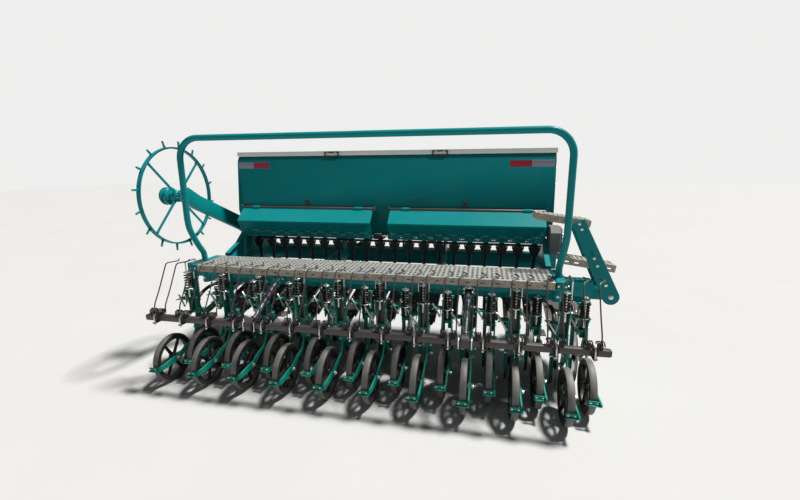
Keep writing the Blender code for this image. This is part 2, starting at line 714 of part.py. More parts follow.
def lid_ears():
    """Pairs of ears with pins along the hopper's front edge, for the lid's hinges."""
    pieces = []
    axis_y, axis_z = lid_axis()
    face = HOPPER_SIDE[-1][0]
    for x in LID_HINGE_X:
        for side in (-1, 1):
            low, high = sorted((x + side * 0.026, x + side * 0.032))
            outline = ((face - SINK, axis_z - 0.05), (axis_y, axis_z - 0.012),
                       (axis_y + 0.009, axis_z), (axis_y, axis_z + 0.008),
                       (face + 0.004, axis_z - 0.012), (face - SINK, axis_z - 0.012))
            pieces.append(prism("X", outline, low, high))
        pieces.append(rod("X", axis_y, axis_z, LID_PIN_RADIUS, x - 0.027, x + 0.027, 8))
    return pieces


def hopper_lid():
    """A shallow turned-down cover that hinges along its front edge."""
    low = HOPPER_TOP_Z + TOUCH
    high = low + LID_HEIGHT
    shell = box(-LID_HALF, LID_HALF, LID_REAR_Y, LID_FRONT_Y, low, high)
    under = box(-LID_HALF + SHEET, LID_HALF - SHEET, LID_REAR_Y + SHEET, LID_FRONT_Y - SHEET,
                low - SINK, high - SHEET)
    flange = box(-LID_HALF + SHEET / 2, LID_HALF - SHEET / 2, LID_REAR_Y + 0.001,
                 LID_REAR_Y + 0.030, low, low + SHEET)
    front_flange = box(-LID_HALF + SHEET / 2, LID_HALF - SHEET / 2, LID_FRONT_Y - 0.030,
                       LID_FRONT_Y - 0.001, low, low + SHEET)
    shell = fuse([shell], [under])
    axis_y, axis_z = lid_axis()
    lugs, holes = [], []
    for x in LID_HINGE_X:
        outline = ((LID_FRONT_Y - SINK / 2, low + 0.006), (axis_y, low + 0.001),
                   (axis_y + 0.011, axis_z + 0.002), (axis_y + 0.008, axis_z + 0.012),
                   (LID_FRONT_Y - SINK / 2, low + 0.022))
        lugs.append(prism("X", outline, x - 0.022, x + 0.022))
        lugs.append(rod("X", axis_y, axis_z, 0.011, x - 0.022, x + 0.022, 12))
        holes.append(bore("X", axis_y, axis_z, LID_PIN_RADIUS, x - 0.03, x + 0.03, 8))
    body = fuse([shell, flange, front_flange] + lugs, holes)
    node("hopper_lid", body, "white", (0, axis_y, axis_z))


def metering_guard(name, ends):
    """A folded sheet over the seed meters, hanging from its hinge pipe."""
    low, high = ends
    start = Vector((GUARD_PIPE_Y, GUARD_PIPE_Z))
    lip = Vector((GUARD_LIP_Y, GUARD_LIP_Z))
    foot = Vector((GUARD_FOOT_Y, GUARD_FOOT_Z))
    sheet = prism("X", strip((start, lip, foot), GUARD_SHEET), low, high)
    pipe = rod("X", start.x, start.y, GUARD_PIPE_RADIUS, low - 0.016, high + 0.016)
    node(name, fuse([sheet, pipe]), "green", ((low + high) / 2, start.x, start.y))


def meter_housing(places):
    """The row of seed meters under the hopper, with an outlet spout for each row."""
    top = METER_Z1 - TOUCH * 2
    body = box(-METER_HALF, METER_HALF, METER_Y0, METER_Y1, METER_Z0 + 0.02, top)
    shaft = rod("X", METER_Y0 - 0.012, METER_Z0 + 0.05, 0.014, -METER_HALF - 0.02,
                METER_HALF + 0.028, 6)
    spouts = [rod("Z", x * METER_SHARE, (METER_Y0 + METER_Y1) / 2, 0.024, METER_Z0,
                  METER_Z0 + 0.03, 6) for name, x, lead in places]
    node("meter_housing", fuse([body, shaft] + spouts), "black")


def drive_gearbox():
    """The stepless seed-rate gearbox outside the right cradle plate, with its lever."""
    wide, deep, tall = GEARBOX
    x0 = RAIL_X[0] + CRADLE_THICKNESS / 2 + TOUCH
    case = prism("X", ((GEARBOX_Y, GEARBOX_Z), (GEARBOX_Y + deep, GEARBOX_Z),
                       (GEARBOX_Y + deep, GEARBOX_Z + tall - 0.04),
                       (GEARBOX_Y + deep - 0.03, GEARBOX_Z + tall),
                       (GEARBOX_Y + 0.03, GEARBOX_Z + tall), (GEARBOX_Y, GEARBOX_Z + tall - 0.04)),
                 x0, x0 + wide)
    lever = tube(((x0 + wide - 0.01, GEARBOX_Y + 0.05, GEARBOX_Z + 0.11),
                  (x0 + wide + 0.03, GEARBOX_Y + 0.03, GEARBOX_Z + 0.14),
                  (x0 + wide + 0.04, GEARBOX_Y - 0.02, GEARBOX_Z + 0.25)), 0.007, 6)
    knob = rod("Y", x0 + wide + 0.04, GEARBOX_Z + 0.25, 0.016, GEARBOX_Y - 0.036,
               GEARBOX_Y - 0.004, 8)
    node("drive_gearbox", fuse([case, lever, knob]), "grey")


def hose_route(x, lead):
    """A seed hose from its meter's spout down to the boot of its row."""
    top = x * METER_SHARE
    foot = x - BOOT_OFFSET
    meter_y = (METER_Y0 + METER_Y1) / 2
    clip_z = METER_Z0 - TOUCH

    def across(share):
        return top + (foot - top) * share
    return [(top, meter_y, clip_z), (top, meter_y, clip_z - 0.10),
            (top, meter_y - 0.03, 0.695), (across(0.35), meter_y - 0.08, 0.633),
            (across(0.75), 0.665 + lead * 0.4, 0.582), (foot, 0.53 + lead * 0.8, 0.545),
            (foot, BOOT_Y + lead, 0.490), (foot, BOOT_Y + lead, BOOT_TOP_Z + TOUCH)]


def seed_hoses(places):
    """All the hoses, held side by side in the clip rail under the meters."""
    clip_z = METER_Z0 - TOUCH
    meter_y = (METER_Y0 + METER_Y1) / 2
    rail = box(-METER_HALF, METER_HALF, meter_y - 0.022, meter_y + 0.022, clip_z - 0.012, clip_z)
    hoses = [tube(hose_route(x, lead), HOSE_RADIUS, 5) for name, x, lead in places]
    node("seed_hoses", fuse([rail] + hoses), "hose")


# ================================================================ platform
def platform():
    """A folded tread plate with turned-down edges."""
    lip = PLATFORM_Z - (BEAM_Z + BEAM_SIZE / 2 + TOUCH)
    outer = box(-PLATFORM_HALF, PLATFORM_HALF, PLATFORM_Y0, PLATFORM_Y1, PLATFORM_Z - lip,
                PLATFORM_Z)
    under = box(-PLATFORM_HALF - SINK, PLATFORM_HALF + SINK, PLATFORM_Y0 + PLATFORM_SHEET,
                PLATFORM_Y1 - PLATFORM_SHEET, PLATFORM_Z - lip - SINK,
                PLATFORM_Z - PLATFORM_SHEET)
    node("platform", fuse([outer], [under]), "galvanised")


def guard_rail():
    """One bent tube from socket to socket over the platform."""
    foot_x, foot_y, foot_z = RAIL_FOOT
    corner_x = RAIL_POST_X - RAIL_BEND
    corner_z = RAIL_TOP_Z - RAIL_BEND
    half = [(foot_x, foot_y, foot_z), (foot_x, foot_y, PLATFORM_Z + 0.02)]
    half += smooth([(foot_x, foot_y - 0.006, PLATFORM_Z + 0.06),
                    (foot_x + 0.003, foot_y - 0.055, 0.99),
                    (RAIL_POST_X - 0.001, RAIL_POST_Y + 0.010, 1.10),
                    (RAIL_POST_X, RAIL_POST_Y, 1.16)], 2)
    half += [(corner_x + RAIL_BEND * cos(a), RAIL_POST_Y, corner_z + RAIL_BEND * sin(a))
             for a in (pi / 2 * i / 6 for i in range(7))]
    half = [Vector(p) for p in half]
    other = [Vector((-p.x, p.y, p.z)) for p in reversed(half)]
    node("guard_rail", tube(half + other, RAIL_TUBE_RADIUS, 8), "green")


def boarding_ladder():
    """Two folded treads between two stringers, swung up beside the platform."""
    foot = Vector((LADDER_PIVOT_X, LADDER_PIVOT_Z))
    head = Vector(LADDER_HEAD)
    along = (head - foot).normalized()
    across = Vector((-along.y, along.x))
    half = LADDER_WIDTH / 2
    heel = [foot + across * half * cos(a) - along * half * sin(a)
            for a in (pi * i / 6 for i in range(7))]
    outline = [tuple(p) for p in heel] + [tuple(head - across * half * 0.75),
                                         tuple(head + across * half * 0.75)]
    plates = [prism("Y", outline, LADDER_Y0, LADDER_Y0 + LADDER_PLATE),
              prism("Y", outline, LADDER_Y1 - LADDER_PLATE, LADDER_Y1)]
    treads = []
    for x, z in TREADS:
        turn = Matrix.Translation((x, 0, z)) @ Matrix.Rotation(-TREAD_SLOPE, 4, "Y")
        end = TREAD_LENGTH / 2
        y0, y1 = LADDER_Y0 + LADDER_PLATE - SINK, LADDER_Y1 - LADDER_PLATE + SINK
        channel = fuse([box(-end, end, y0, y1, -TREAD_HEIGHT / 2, TREAD_HEIGHT / 2)],
                       [box(-end - SINK, end + SINK, y0 + 0.006, y1 - 0.006,
                            -TREAD_HEIGHT / 2 - SINK, TREAD_HEIGHT / 2 - 0.004)])
        channel.data.transform(turn)
        treads.append(channel)
    hole = bore("Y", foot.x, foot.y, LADDER_PIN_RADIUS, LADDER_Y0 - 0.1, LADDER_Y1 + 0.1)
    node("boarding_ladder", fuse(plates + treads, [hole]), "green", (foot.x, LADDER_Y0, foot.y))


# ================================================================ harrow
def harrow():
    """The tine bar, parked with its tines leaning up against the platform's edge."""
    half = HARROW_SIZE / 2
    pieces = [box(-HARROW_HALF, HARROW_HALF, HARROW_Y - half, HARROW_Y + half, HARROW_Z - half,
                  HARROW_Z + half)]
    coil_z = HARROW_Z + half + COIL_RADIUS - 0.004
    elbow = Vector((0, PLATFORM_Y0 - 0.022, PLATFORM_Z + 0.010))
    tip = elbow + Vector((0, TIP_LENGTH, 0.008))
    for i in range(TINES):
        middle = TINE_FIRST_X + i * TINE_PITCH
        reach = TINE_GAP / 2
        pieces.append(rod("X", HARROW_Y, coil_z, COIL_RADIUS, middle - reach, middle + reach, 6))
        for side in (-1, 1):
            shift = Vector((middle + side * (reach - 0.008), 0, 0))
            start = Vector((0, HARROW_Y + COIL_RADIUS * 0.60, coil_z + 0.004))
            pieces.append(tube((start + shift, elbow + shift, tip + shift), TINE_RADIUS, 4))
    node("harrow", fuse(pieces), "grey", (0, HARROW_Y, HARROW_Z))


# ================================================================ land wheel
def land_wheel_arm():
    """A box arm, cranked outwards, with a boss at each end and the wheel's axle."""
    pivot = Vector((LAND_PIVOT_Y, LAND_PIVOT_Z))
    hub = Vector((LAND_HUB_Y, LAND_HUB_Z))
    along = (hub - pivot).normalized()
    across = Vector((-along.y, along.x)) * LAND_ARM_HEIGHT / 2

    def ring(centre, x, share):
        corners = (centre + across * share, centre - across * share)
        low, high = corners[1], corners[0]
        return [(x, low.x, low.y), (x - LAND_ARM_WIDTH, low.x, low.y),
                (x - LAND_ARM_WIDTH, high.x, high.y), (x, high.x, high.y)]
    near = LAND_ARM_IN_X
    far = LAND_ARM_OUT_X + LAND_ARM_WIDTH
    body = loft([ring(pivot - along * 0.045, near, 1.0), ring(pivot + along * 0.10, near, 1.0),
                 ring(hub - along * 0.10, far, 1.0), ring(hub + along * 0.05, far, 0.9)])
    boss = rod("X", pivot.x, pivot.y, 0.060, near - LAND_ARM_WIDTH - 0.004, near + 0.004, 14)
    inner = LAND_HUB_X + LAND_RIM_WIDTH / 2 + 0.02
    neck = rod("X", hub.x, hub.y, 0.040, inner + 0.004, far, 14)
    axle = rod("X", hub.x, hub.y, LAND_AXLE_RADIUS, LAND_HUB_X - 0.05, inner + 0.01, 8)
    hole = bore("X", pivot.x, pivot.y, LAND_PIVOT_RADIUS, near - 0.1, near + 0.1)
    node("land_wheel_arm", fuse([body, boss, neck, axle], [hole]), "green",
         (near, pivot.x, pivot.y))


def land_wheel():
    """A thin spiked rim on four round spokes, with a domed cap over the hub."""
    sides = 24
    half = LAND_RIM_WIDTH / 2
    inner = LAND_RIM_RADIUS - LAND_RIM_DEPTH
    rim = fuse([prism("X", circle(0, 0, LAND_RIM_RADIUS, sides), -half, half)],
               [prism("X", circle(0, 0, inner, sides), -half - SINK, half + SINK)])
    pieces = [rim, rod("X", 0, 0, LAND_HUB_RADIUS, -0.05, 0.02, 10)]
    for k in range(LAND_SPOKES):
        angle = pi / 4 + 2 * pi * k / LAND_SPOKES
        reach = inner + 0.006
        start = 0.5 * LAND_HUB_RADIUS
        pieces.append(tube(((0, start * cos(angle), start * sin(angle)),
                            (0, reach * cos(angle), reach * sin(angle))), 0.009, 5))
    for k in range(LAND_SPIKES):
        angle = 2 * pi * (k + 0.5) / LAND_SPIKES
        base = inner + 0.002
        tip = LAND_RIM_RADIUS + LAND_SPIKE_LENGTH
        across = Vector((-sin(angle), cos(angle)))
        out = Vector((cos(angle), sin(angle)))
        outline = [out * base + across * 0.013, out * tip + across * 0.008,
                   out * tip - across * 0.006, out * base - across * 0.013]
        pieces.append(prism("X", [tuple(p) for p in outline], -0.005, 0.005))
    cap = loft([[(x, *pair) for pair in circle(0, 0, r, 12)] for x, r in
                ((-0.046, LAND_CAP_RADIUS), (-0.085, LAND_CAP_RADIUS), (-0.098, 0.045))])
    body = fuse(pieces + [cap], [bore("X", 0, 0, LAND_AXLE_RADIUS, -0.0505, 0.1)])
    node("land_wheel", body, "green")
    body.location = (LAND_HUB_X, LAND_HUB_Y, LAND_HUB_Z)


# ================================================================ stands
def parking_stand(name, side):
    """A square leg on its pin, its foot a little outside the pin."""
    y0 = TOOLBAR_Y + TOOLBAR_SIZE / 2 + STAND_GAP
    y1 = y0 + STAND_SIZE
    pivot_x = side * STAND_X
    foot_x = side * (STAND_X + STAND_LEAN)
    half = STAND_SIZE / 2
    low, high = STAND_FOOT_THICKNESS / 2, STAND_PIVOT_Z + 0.035
    leg = prism("Y", ((pivot_x - half, high), (pivot_x + half, high),
                      (foot_x + half, low), (foot_x - half, low)), y0, y1)
    pad = STAND_FOOT / 2
    foot = box(foot_x - pad, foot_x + pad, y0, y0 + STAND_FOOT, 0, STAND_FOOT_THICKNESS)
    hole = bore("Y", pivot_x, STAND_PIVOT_Z, STAND_PIN_RADIUS, y0 - 0.1, y1 + 0.1)
    node(name, fuse([leg, foot], [hole]), "grey", (pivot_x, y0, STAND_PIVOT_Z))


# ================================================================ assembly
clear_scene()
machine = bpy.data.objects.new("machine", None)
bpy.context.scene.collection.objects.link(machine)
machine.location = (-ORIGIN_X, -ORIGIN_Y, 0)

rows = row_places()
main_frame()
headstock()
rear_coulter_row(rows)
front_coulter_row(rows)
hopper()
hopper_lid()
metering_guard("left_meter_guard", GUARD_ENDS[0])
metering_guard("right_meter_guard", GUARD_ENDS[1])
meter_housing(rows)
drive_gearbox()
seed_hoses(rows)
platform()
guard_rail()
boarding_ladder()
harrow()
land_wheel_arm()
land_wheel()
parking_stand("left_stand", -1)
parking_stand("right_stand", 1)

wheel = disc = None
for k, (label, x, lead) in enumerate(rows):
    hub = (x, lead + AXLE_Y, WHEEL_RADIUS)
    centre = (x, lead + DISC_Y, DISC_RADIUS + DISC_LIFT)
    if wheel is None:
        wheel = node(f"press_wheel_{label}", press_wheel(), "tyre")
        disc = node(f"opener_disc_{label}", opener_disc(), "steel")
        wheel.location = hub
        disc.location = centre
        disc.rotation_euler = (0, 0, disc_turn(k))
    else:
        copy_node(f"press_wheel_{label}", wheel, hub)
        copy_node(f"opener_disc_{label}", disc, centre, disc_turn(k))
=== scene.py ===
"""Looks of a mounted twenty-row seed drill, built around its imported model.

Shapes are worked out in the machine's own layout: X from its centre plane, Y from a line
across the ground a little behind the rear axles, Z from the ground. settle() moves each
finished piece from there into the model's frame.
"""
import json
from math import atan2, cos, pi, radians, sin, sqrt

import bpy
from mathutils import Matrix, Vector

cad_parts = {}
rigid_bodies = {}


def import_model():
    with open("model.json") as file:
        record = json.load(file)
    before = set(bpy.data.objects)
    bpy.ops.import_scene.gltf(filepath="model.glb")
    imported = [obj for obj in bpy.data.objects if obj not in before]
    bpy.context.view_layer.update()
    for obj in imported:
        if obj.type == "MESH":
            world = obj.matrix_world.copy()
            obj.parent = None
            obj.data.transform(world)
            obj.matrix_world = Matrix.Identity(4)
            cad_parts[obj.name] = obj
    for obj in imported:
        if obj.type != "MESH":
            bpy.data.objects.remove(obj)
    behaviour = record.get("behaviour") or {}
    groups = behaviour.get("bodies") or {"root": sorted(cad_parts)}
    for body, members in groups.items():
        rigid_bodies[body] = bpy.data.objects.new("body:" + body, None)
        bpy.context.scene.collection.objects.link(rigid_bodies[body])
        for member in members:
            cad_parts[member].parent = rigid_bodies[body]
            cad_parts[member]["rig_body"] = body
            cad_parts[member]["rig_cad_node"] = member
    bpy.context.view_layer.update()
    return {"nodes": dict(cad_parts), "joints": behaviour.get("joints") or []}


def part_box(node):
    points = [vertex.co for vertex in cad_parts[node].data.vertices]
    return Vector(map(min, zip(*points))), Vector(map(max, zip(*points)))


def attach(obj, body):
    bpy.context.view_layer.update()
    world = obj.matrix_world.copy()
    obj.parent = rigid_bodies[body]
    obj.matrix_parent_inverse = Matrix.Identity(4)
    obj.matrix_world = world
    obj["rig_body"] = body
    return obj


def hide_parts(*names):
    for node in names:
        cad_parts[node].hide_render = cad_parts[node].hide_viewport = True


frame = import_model()

# ---------------------------------------------------------------- layout
AXLE_Y = 0.045
hopper_low, hopper_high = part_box("hopper")
wheel_low, wheel_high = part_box("press_wheel_rear_01")
BASE = Vector(((hopper_low.x + hopper_high.x) / 2,
               (wheel_low.y + wheel_high.y) / 2 - AXLE_Y, 0))


def layout_box(name):
    """A node's lowest and highest corners in the layout."""
    low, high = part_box(name)
    return low - BASE, high - BASE


FRONT_LEAD = 0.15       # how far the front row stands ahead of the rear row
ROWS = [(name, lead) for i in range(1, 11)
        for name, lead in ((f"rear_{i:02d}", 0.0), (f"front_{i:02d}", FRONT_LEAD))]
WHEEL_R = (wheel_high.z + wheel_low.z) / 2
WHEEL_WIDTH = 0.045
ARM_INNER, ARM_THICK = 0.030, 0.010
EYE = (0.29, 0.315)
DISC_R, DISC_Z = 0.175, 0.183
TOWER_Y, TOWER_FOOT = 0.315, 0.40
BOOT_X, BOOT_Y, BOOT_TOP = -0.0325, 0.40, 0.44
BEAM_HALF, BEAM_SIZE, BEAM_Y, BEAM_Z = 1.44, 0.10, 0.36, 0.76
FRONT_BEAM_HALF, FRONT_BEAM_SIZE, FRONT_BEAM_Y, FRONT_BEAM_Z = 1.43, 0.08, 0.52, 0.66
BAR_SIZE, BAR_Y, BAR_Z = 0.06, 0.95, 0.50
GUARD_PIPE, GUARD_LIP, GUARD_FOOT = (0.722, 1.194), (0.618, 1.097), (0.690, 0.965)
METER_Y, METER_SHARE = 0.86, 0.8
PLATFORM_Y0, PLATFORM_Y1, PLATFORM_HALF = 0.09, 0.39, 1.18
PLATFORM_Z = layout_box("platform")[1].z
RAIL_FOOT = (1.215, 0.23, 0.70)
RAIL_POST = (1.225, 0.11)
RAIL_TOP, RAIL_BEND, RAIL_R = 1.708, 0.14, 0.020
LADDER_PIVOT, LADDER_HEAD = (1.550, 0.710), (1.325, 1.180)
HARROW_Y, HARROW_Z, HARROW_HALF = -0.096, 0.534, 1.45
CARRIER_X = 0.68        # the harrow's struts, left and right
LAND_ARM_X = -1.40      # the land wheel's arm swings down outside this
HOPPER_HALF, HOPPER_RIM_Z = 1.245, 1.6003
METER_Z0, METER_Z1 = 0.945, 0.999
CLIP_Z = 0.9247         # top of the rail that clips the hoses
LAND_RIM = 0.371


# ================================================================ hands
SHARP = 35              # degrees: an edge sharper than this is rounded and stays crisp
MERGE = 0.00002         # points nearer than this are one


def only(*things):
    bpy.ops.object.select_all(action="DESELECT")
    for thing in things:
        thing.select_set(True)
    bpy.context.view_layer.objects.active = things[0]
    return things[0]


def applied(thing):
    """The object with its place, turn and size in its mesh."""
    only(thing)
    bpy.ops.object.transform_apply(location=True, rotation=True, scale=True)
    return thing


def finish_modifier(thing, kind, **settings):
    only(thing)
    step = thing.modifiers.new(kind.lower(), kind)
    for key, value in settings.items():
        setattr(step, key, value)
    bpy.ops.object.modifier_apply(modifier=step.name)
    return thing


def shaded(thing, angle=SHARP):
    """Smooth shading that keeps the edges sharper than an angle crisp."""
    only(thing)
    bpy.ops.object.shade_smooth_by_angle(angle=radians(angle))
    return thing


def rounded(thing, edge, segments=2):
    """Round the sharp edges."""
    if edge:
        finish_modifier(thing, "BEVEL", width=edge, segments=segments, limit_method="ANGLE",
                        angle_limit=radians(SHARP), use_clamp_overlap=True)
    return shaded(thing)


def cleaned(thing):
    """Doubled points merged, and every face turned outwards."""
    only(thing)
    bpy.ops.object.mode_set(mode="EDIT")
    bpy.ops.mesh.select_all(action="SELECT")
    bpy.ops.mesh.remove_doubles(threshold=MERGE)
    bpy.ops.mesh.normals_make_consistent(inside=False)
    bpy.ops.object.mode_set(mode="OBJECT")
    return thing


def paint(thing, material):
    thing.data.materials.clear()
    thing.data.materials.append(material)
    return thing


def block(one, other, material, edge=0.002):
    """A rounded bar or box between two opposite corners."""
    one, other = Vector(one), Vector(other)
    size = [abs(length) for length in other - one]
    bpy.ops.mesh.primitive_cube_add(size=1, location=(one + other) / 2, scale=size)
    return paint(rounded(applied(bpy.context.object), edge), material)


def rod(start, end, radius, material, sides=20, edge=0.0, tip=None):
    """A round bar between two points, tapering to another radius where one is given."""
    start, end = Vector(start), Vector(end)
    run = end - start
    turn = run.to_track_quat("Z", "Y").to_euler()
    bpy.ops.mesh.primitive_cone_add(vertices=sides, radius1=radius, radius2=tip or radius,
                                    depth=run.length, location=(start + end) / 2, rotation=turn)
    return paint(rounded(applied(bpy.context.object), edge), material)


def curve(runs, closed=False, flat=False):
    """A curve object through one or more runs of points."""
    data = bpy.data.curves.new("curve", "CURVE")
    data.dimensions = "2D" if flat else "3D"
    for points in runs:
        spline = data.splines.new("POLY")
        spline.points.add(len(points) - 1)
        for knot, p in zip(spline.points, points):
            knot.co = (*p, 1) if len(p) == 3 else (*p, 0, 1)
        spline.use_cyclic_u = closed
    thing = bpy.data.objects.new("curve", data)
    bpy.context.scene.collection.objects.link(thing)
    return thing


def to_mesh(thing):
    only(thing)
    bpy.ops.object.convert(target="MESH")
    return bpy.context.object


def wire(points, radius, material, sides=8, swell=None):
    """A round wire, pipe or hose along points; swell gives a share of the radius at each."""
    thing = curve([points])
    thing.data.bevel_depth = radius
    thing.data.bevel_resolution = sides // 2 - 2
    thing.data.use_fill_caps = True
    for i, knot in enumerate(thing.data.splines[0].points):
        knot.radius = swell(i) if swell else 1.0
    return paint(shaded(to_mesh(thing), 40), material)


ACROSS = {"X": Matrix(((0, 0, 1), (1, 0, 0), (0, 1, 0))),
          "Y": Matrix(((1, 0, 0), (0, 0, 1), (0, 1, 0))),
          "Z": Matrix.Identity(3)}


def plate(axis, outline, low, high, material, edge=0.0012, holes=()):
    """A flat plate from its outline and holes, cut across an axis, with broken edges.

    The outline's pairs are (Y, Z) across X, (X, Z) across Y and (X, Y) across Z.
    """
    thing = curve([outline, *holes], closed=True, flat=True)
    thing.data.fill_mode = "BOTH"
    thing.data.extrude = (high - low) / 2 - edge
    thing.data.bevel_depth = edge
    thing.data.bevel_resolution = 0
    thing.data.offset = -edge
    thing = to_mesh(thing)
    thing.data.transform(ACROSS[axis].to_4x4() @ Matrix.Translation((0, 0, (low + high) / 2)))
    return paint(shaded(cleaned(thing)), material)


def ring(u, v, radius, sides=16):
    return [(u + radius * cos(2 * pi * i / sides), v + radius * sin(2 * pi * i / sides))
            for i in range(sides)]


def rect(u0, u1, v0, v1):
    return [(u0, v0), (u1, v0), (u1, v1), (u0, v1)]


def slot_hole(u, v, length, width, lean=0.0, sides=4):
    """A round-ended slot about a point."""
    points = []
    for end in (1, -1):
        for i in range(sides + 1):
            a = (pi * i / sides - pi / 2) + (0 if end > 0 else pi)
            points.append(Vector((end * (length - width) / 2 + width / 2 * cos(a), width / 2 * sin(a))))
    turn = Matrix.Rotation(lean, 2)
    return [(u + (turn @ p).x, v + (turn @ p).y) for p in points]


def strip(points, width, cap=0):
    """The outline of a flat bar along points, its ends square or round."""
    pts = [Vector(p) for p in points]
    left, right = [], []
    for i, p in enumerate(pts):
        before = (p - pts[i - 1]).normalized() if i else None
        after = (pts[i + 1] - p).normalized() if i < len(pts) - 1 else None
        along = ((before or after) + (after or before)).normalized()
        reach = (width(i) if callable(width) else width) / 2 / max(0.5, along.dot(after or before))
        across = Vector((-along.y, along.x)) * reach
        left.append(p + across)
        right.append(p - across)
    start, end = [], []
    if cap:
        first, last = (pts[0] - pts[1]).normalized(), (pts[-1] - pts[-2]).normalized()
        half = (left[-1] - pts[-1]).length
        tip = Vector((-last.y, last.x))
        end = [pts[-1] + tip * half * cos(a) + last * half * sin(a)
               for a in (pi * i / cap for i in range(1, cap))]
        half = (left[0] - pts[0]).length
        tip = Vector((-first.y, first.x))
        start = [pts[0] + tip * half * cos(a) + first * half * sin(a)
                 for a in (pi * i / cap for i in range(1, cap))]
    return [tuple(p) for p in left + end + right[::-1] + start]


def smooth(points, steps):
    """Points along a Catmull-Rom curve through the given ones."""
    pts = [Vector(p) for p in points]
    ends = [2 * pts[0] - pts[1]] + pts + [2 * pts[-1] - pts[-2]]
    run = []
    for i in range(len(pts) - 1):
        a, b, c, d = ends[i:i + 4]
        for k in range(steps):
            t = k / steps
            run.append(0.5 * (2 * b + (c - a) * t + (2 * a - 5 * b + 4 * c - d) * t * t
                              + (3 * b - a - 3 * c + d) * t ** 3))
    return run + [pts[-1]]


def facing(axis):
    """The turn that takes +X to an axis."""
    return Vector((1, 0, 0)).rotation_difference(Vector(axis)).to_matrix().to_4x4()


def turned(profile, material, steps=48, axis=(1, 0, 0), angle=SHARP):
    """A round piece spun from its profile of (along the axis, radius) pairs."""
    closed = profile[0] == profile[-1]
    points = [(x, 0, r) for x, r in (profile[:-1] if closed else profile)]
    thing = to_mesh(curve([points], closed))
    only(thing)
    bpy.ops.object.mode_set(mode="EDIT")
    bpy.ops.mesh.select_all(action="SELECT")
    bpy.ops.mesh.spin(steps=steps, angle=2 * pi, center=(0, 0, 0), axis=(1, 0, 0))
    bpy.ops.object.mode_set(mode="OBJECT")
    return paint(shaded(placed(cleaned(thing), facing(axis)), angle), material)


def coil(start, end, radius, gauge, turns, material, sides=6, steps=14):
    """A coil spring wound by a loop between two points."""
    start, end = Vector(start), Vector(end)
    run = end - start
    turn = run.to_track_quat("Z", "Y").to_matrix()
    count = int(turns * steps)
    points = [start + run * (i / count)
              + turn @ Vector((cos(2 * pi * i / steps) * radius, sin(2 * pi * i / steps) * radius, 0))
              for i in range(count + 1)]
    return wire(points, gauge, material, sides)


def placed(thing, *moves):
    """The thing itself, moved in its mesh by one or more matrices or offsets."""
    for move in moves:
        thing.data.transform(move if isinstance(move, Matrix) else Matrix.Translation(move))
    return thing


def copied(thing, *moves):
    """A copy with its own mesh, moved like placed()."""
    made = thing.copy()
    made.data = thing.data.copy()
    bpy.context.scene.collection.objects.link(made)
    return placed(made, *moves)


def joined(things):
    """One object from several, each keeping its own finish."""
    things = [t for t in things if t]
    only(*things)
    if len(things) > 1:
        bpy.ops.object.join()
    return bpy.context.object


def scrap(*things):
    for thing in things:
        bpy.data.objects.remove(thing, do_unlink=True)


def settle(name, things, body, replaces=()):
    """Join a piece, move it from the layout into the frame and put it on its body."""
    piece = joined(things)
    piece.name = name
    piece.data.name = name
    piece.data.transform(Matrix.Translation(BASE))
    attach(piece, body)
    if replaces:
        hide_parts(*replaces)
    return piece


def refined(node, material, edge=0.0015, segments=2):
    """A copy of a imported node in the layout, merged, with its edges broken."""
    thing = frame["nodes"][node].copy()
    thing.data = frame["nodes"][node].data.copy()
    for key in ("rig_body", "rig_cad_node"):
        if key in thing:
            del thing[key]
    thing.parent = None
    bpy.context.scene.collection.objects.link(thing)
    only(thing)
    bpy.ops.object.mode_set(mode="EDIT")
    bpy.ops.mesh.select_all(action="SELECT")
    bpy.ops.mesh.remove_doubles(threshold=0.00001)
    bpy.ops.mesh.dissolve_limited(angle_limit=radians(2))
    bpy.ops.object.mode_set(mode="OBJECT")
    thing.data.transform(Matrix.Translation(-BASE))
    return paint(rounded(thing, edge, segments), material)


# ================================================================ shared shader effects
def shader_group(name, inputs, outputs):
    """An empty node group with named sockets, its input node and its output node."""
    tree = bpy.data.node_groups.new(name, "ShaderNodeTree")
    for label, kind, value in inputs:
        socket = tree.interface.new_socket(label, in_out="INPUT", socket_type=kind)
        socket.default_value = value
    for label, kind in outputs:
        tree.interface.new_socket(label, in_out="OUTPUT", socket_type=kind)
    return tree, tree.nodes.new("NodeGroupInput"), tree.nodes.new("NodeGroupOutput")


def add(tree, kind, **settings):
    made = tree.nodes.new(kind)
    for key, value in settings.items():
        setattr(made, key, value)
    return made


def noise(tree, scale, detail=4.0, roughness=0.55, stretch=None):
    """Noise in the object's own coordinates, its scale a number or a socket."""
    place = add(tree, "ShaderNodeTexCoord").outputs["Object"]
    if stretch:
        mapping = add(tree, "ShaderNodeMapping")
        mapping.inputs["Scale"].default_value = stretch
        tree.links.new(place, mapping.inputs["Vector"])
        place = mapping.outputs["Vector"]
    made = add(tree, "ShaderNodeTexNoise")
    tree.links.new(place, made.inputs["Vector"])
    if isinstance(scale, (int, float)):
        made.inputs["Scale"].default_value = scale
    else:
        tree.links.new(scale, made.inputs["Scale"])
    made.inputs["Detail"].default_value = detail
    made.inputs["Roughness"].default_value = roughness
    return made.outputs["Fac"]


def math(tree, operation, one, two=None, clamp=False):
    made = add(tree, "ShaderNodeMath", operation=operation, use_clamp=clamp)
    for socket, value in zip(made.inputs, (one, two)):
        if value is None:
            continue
        if isinstance(value, (int, float)):
            socket.default_value = value
        else:
            tree.links.new(value, socket)
    return made.outputs["Value"]


def spread(tree, value, low, high, to_low=0.0, to_high=1.0):
    made = add(tree, "ShaderNodeMapRange")
    for label, given in (("Value", value), ("From Min", low), ("From Max", high),
                         ("To Min", to_low), ("To Max", to_high)):
        if isinstance(given, (int, float)):
            made.inputs[label].default_value = given
        else:
            tree.links.new(given, made.inputs[label])
    return made.outputs["Result"]


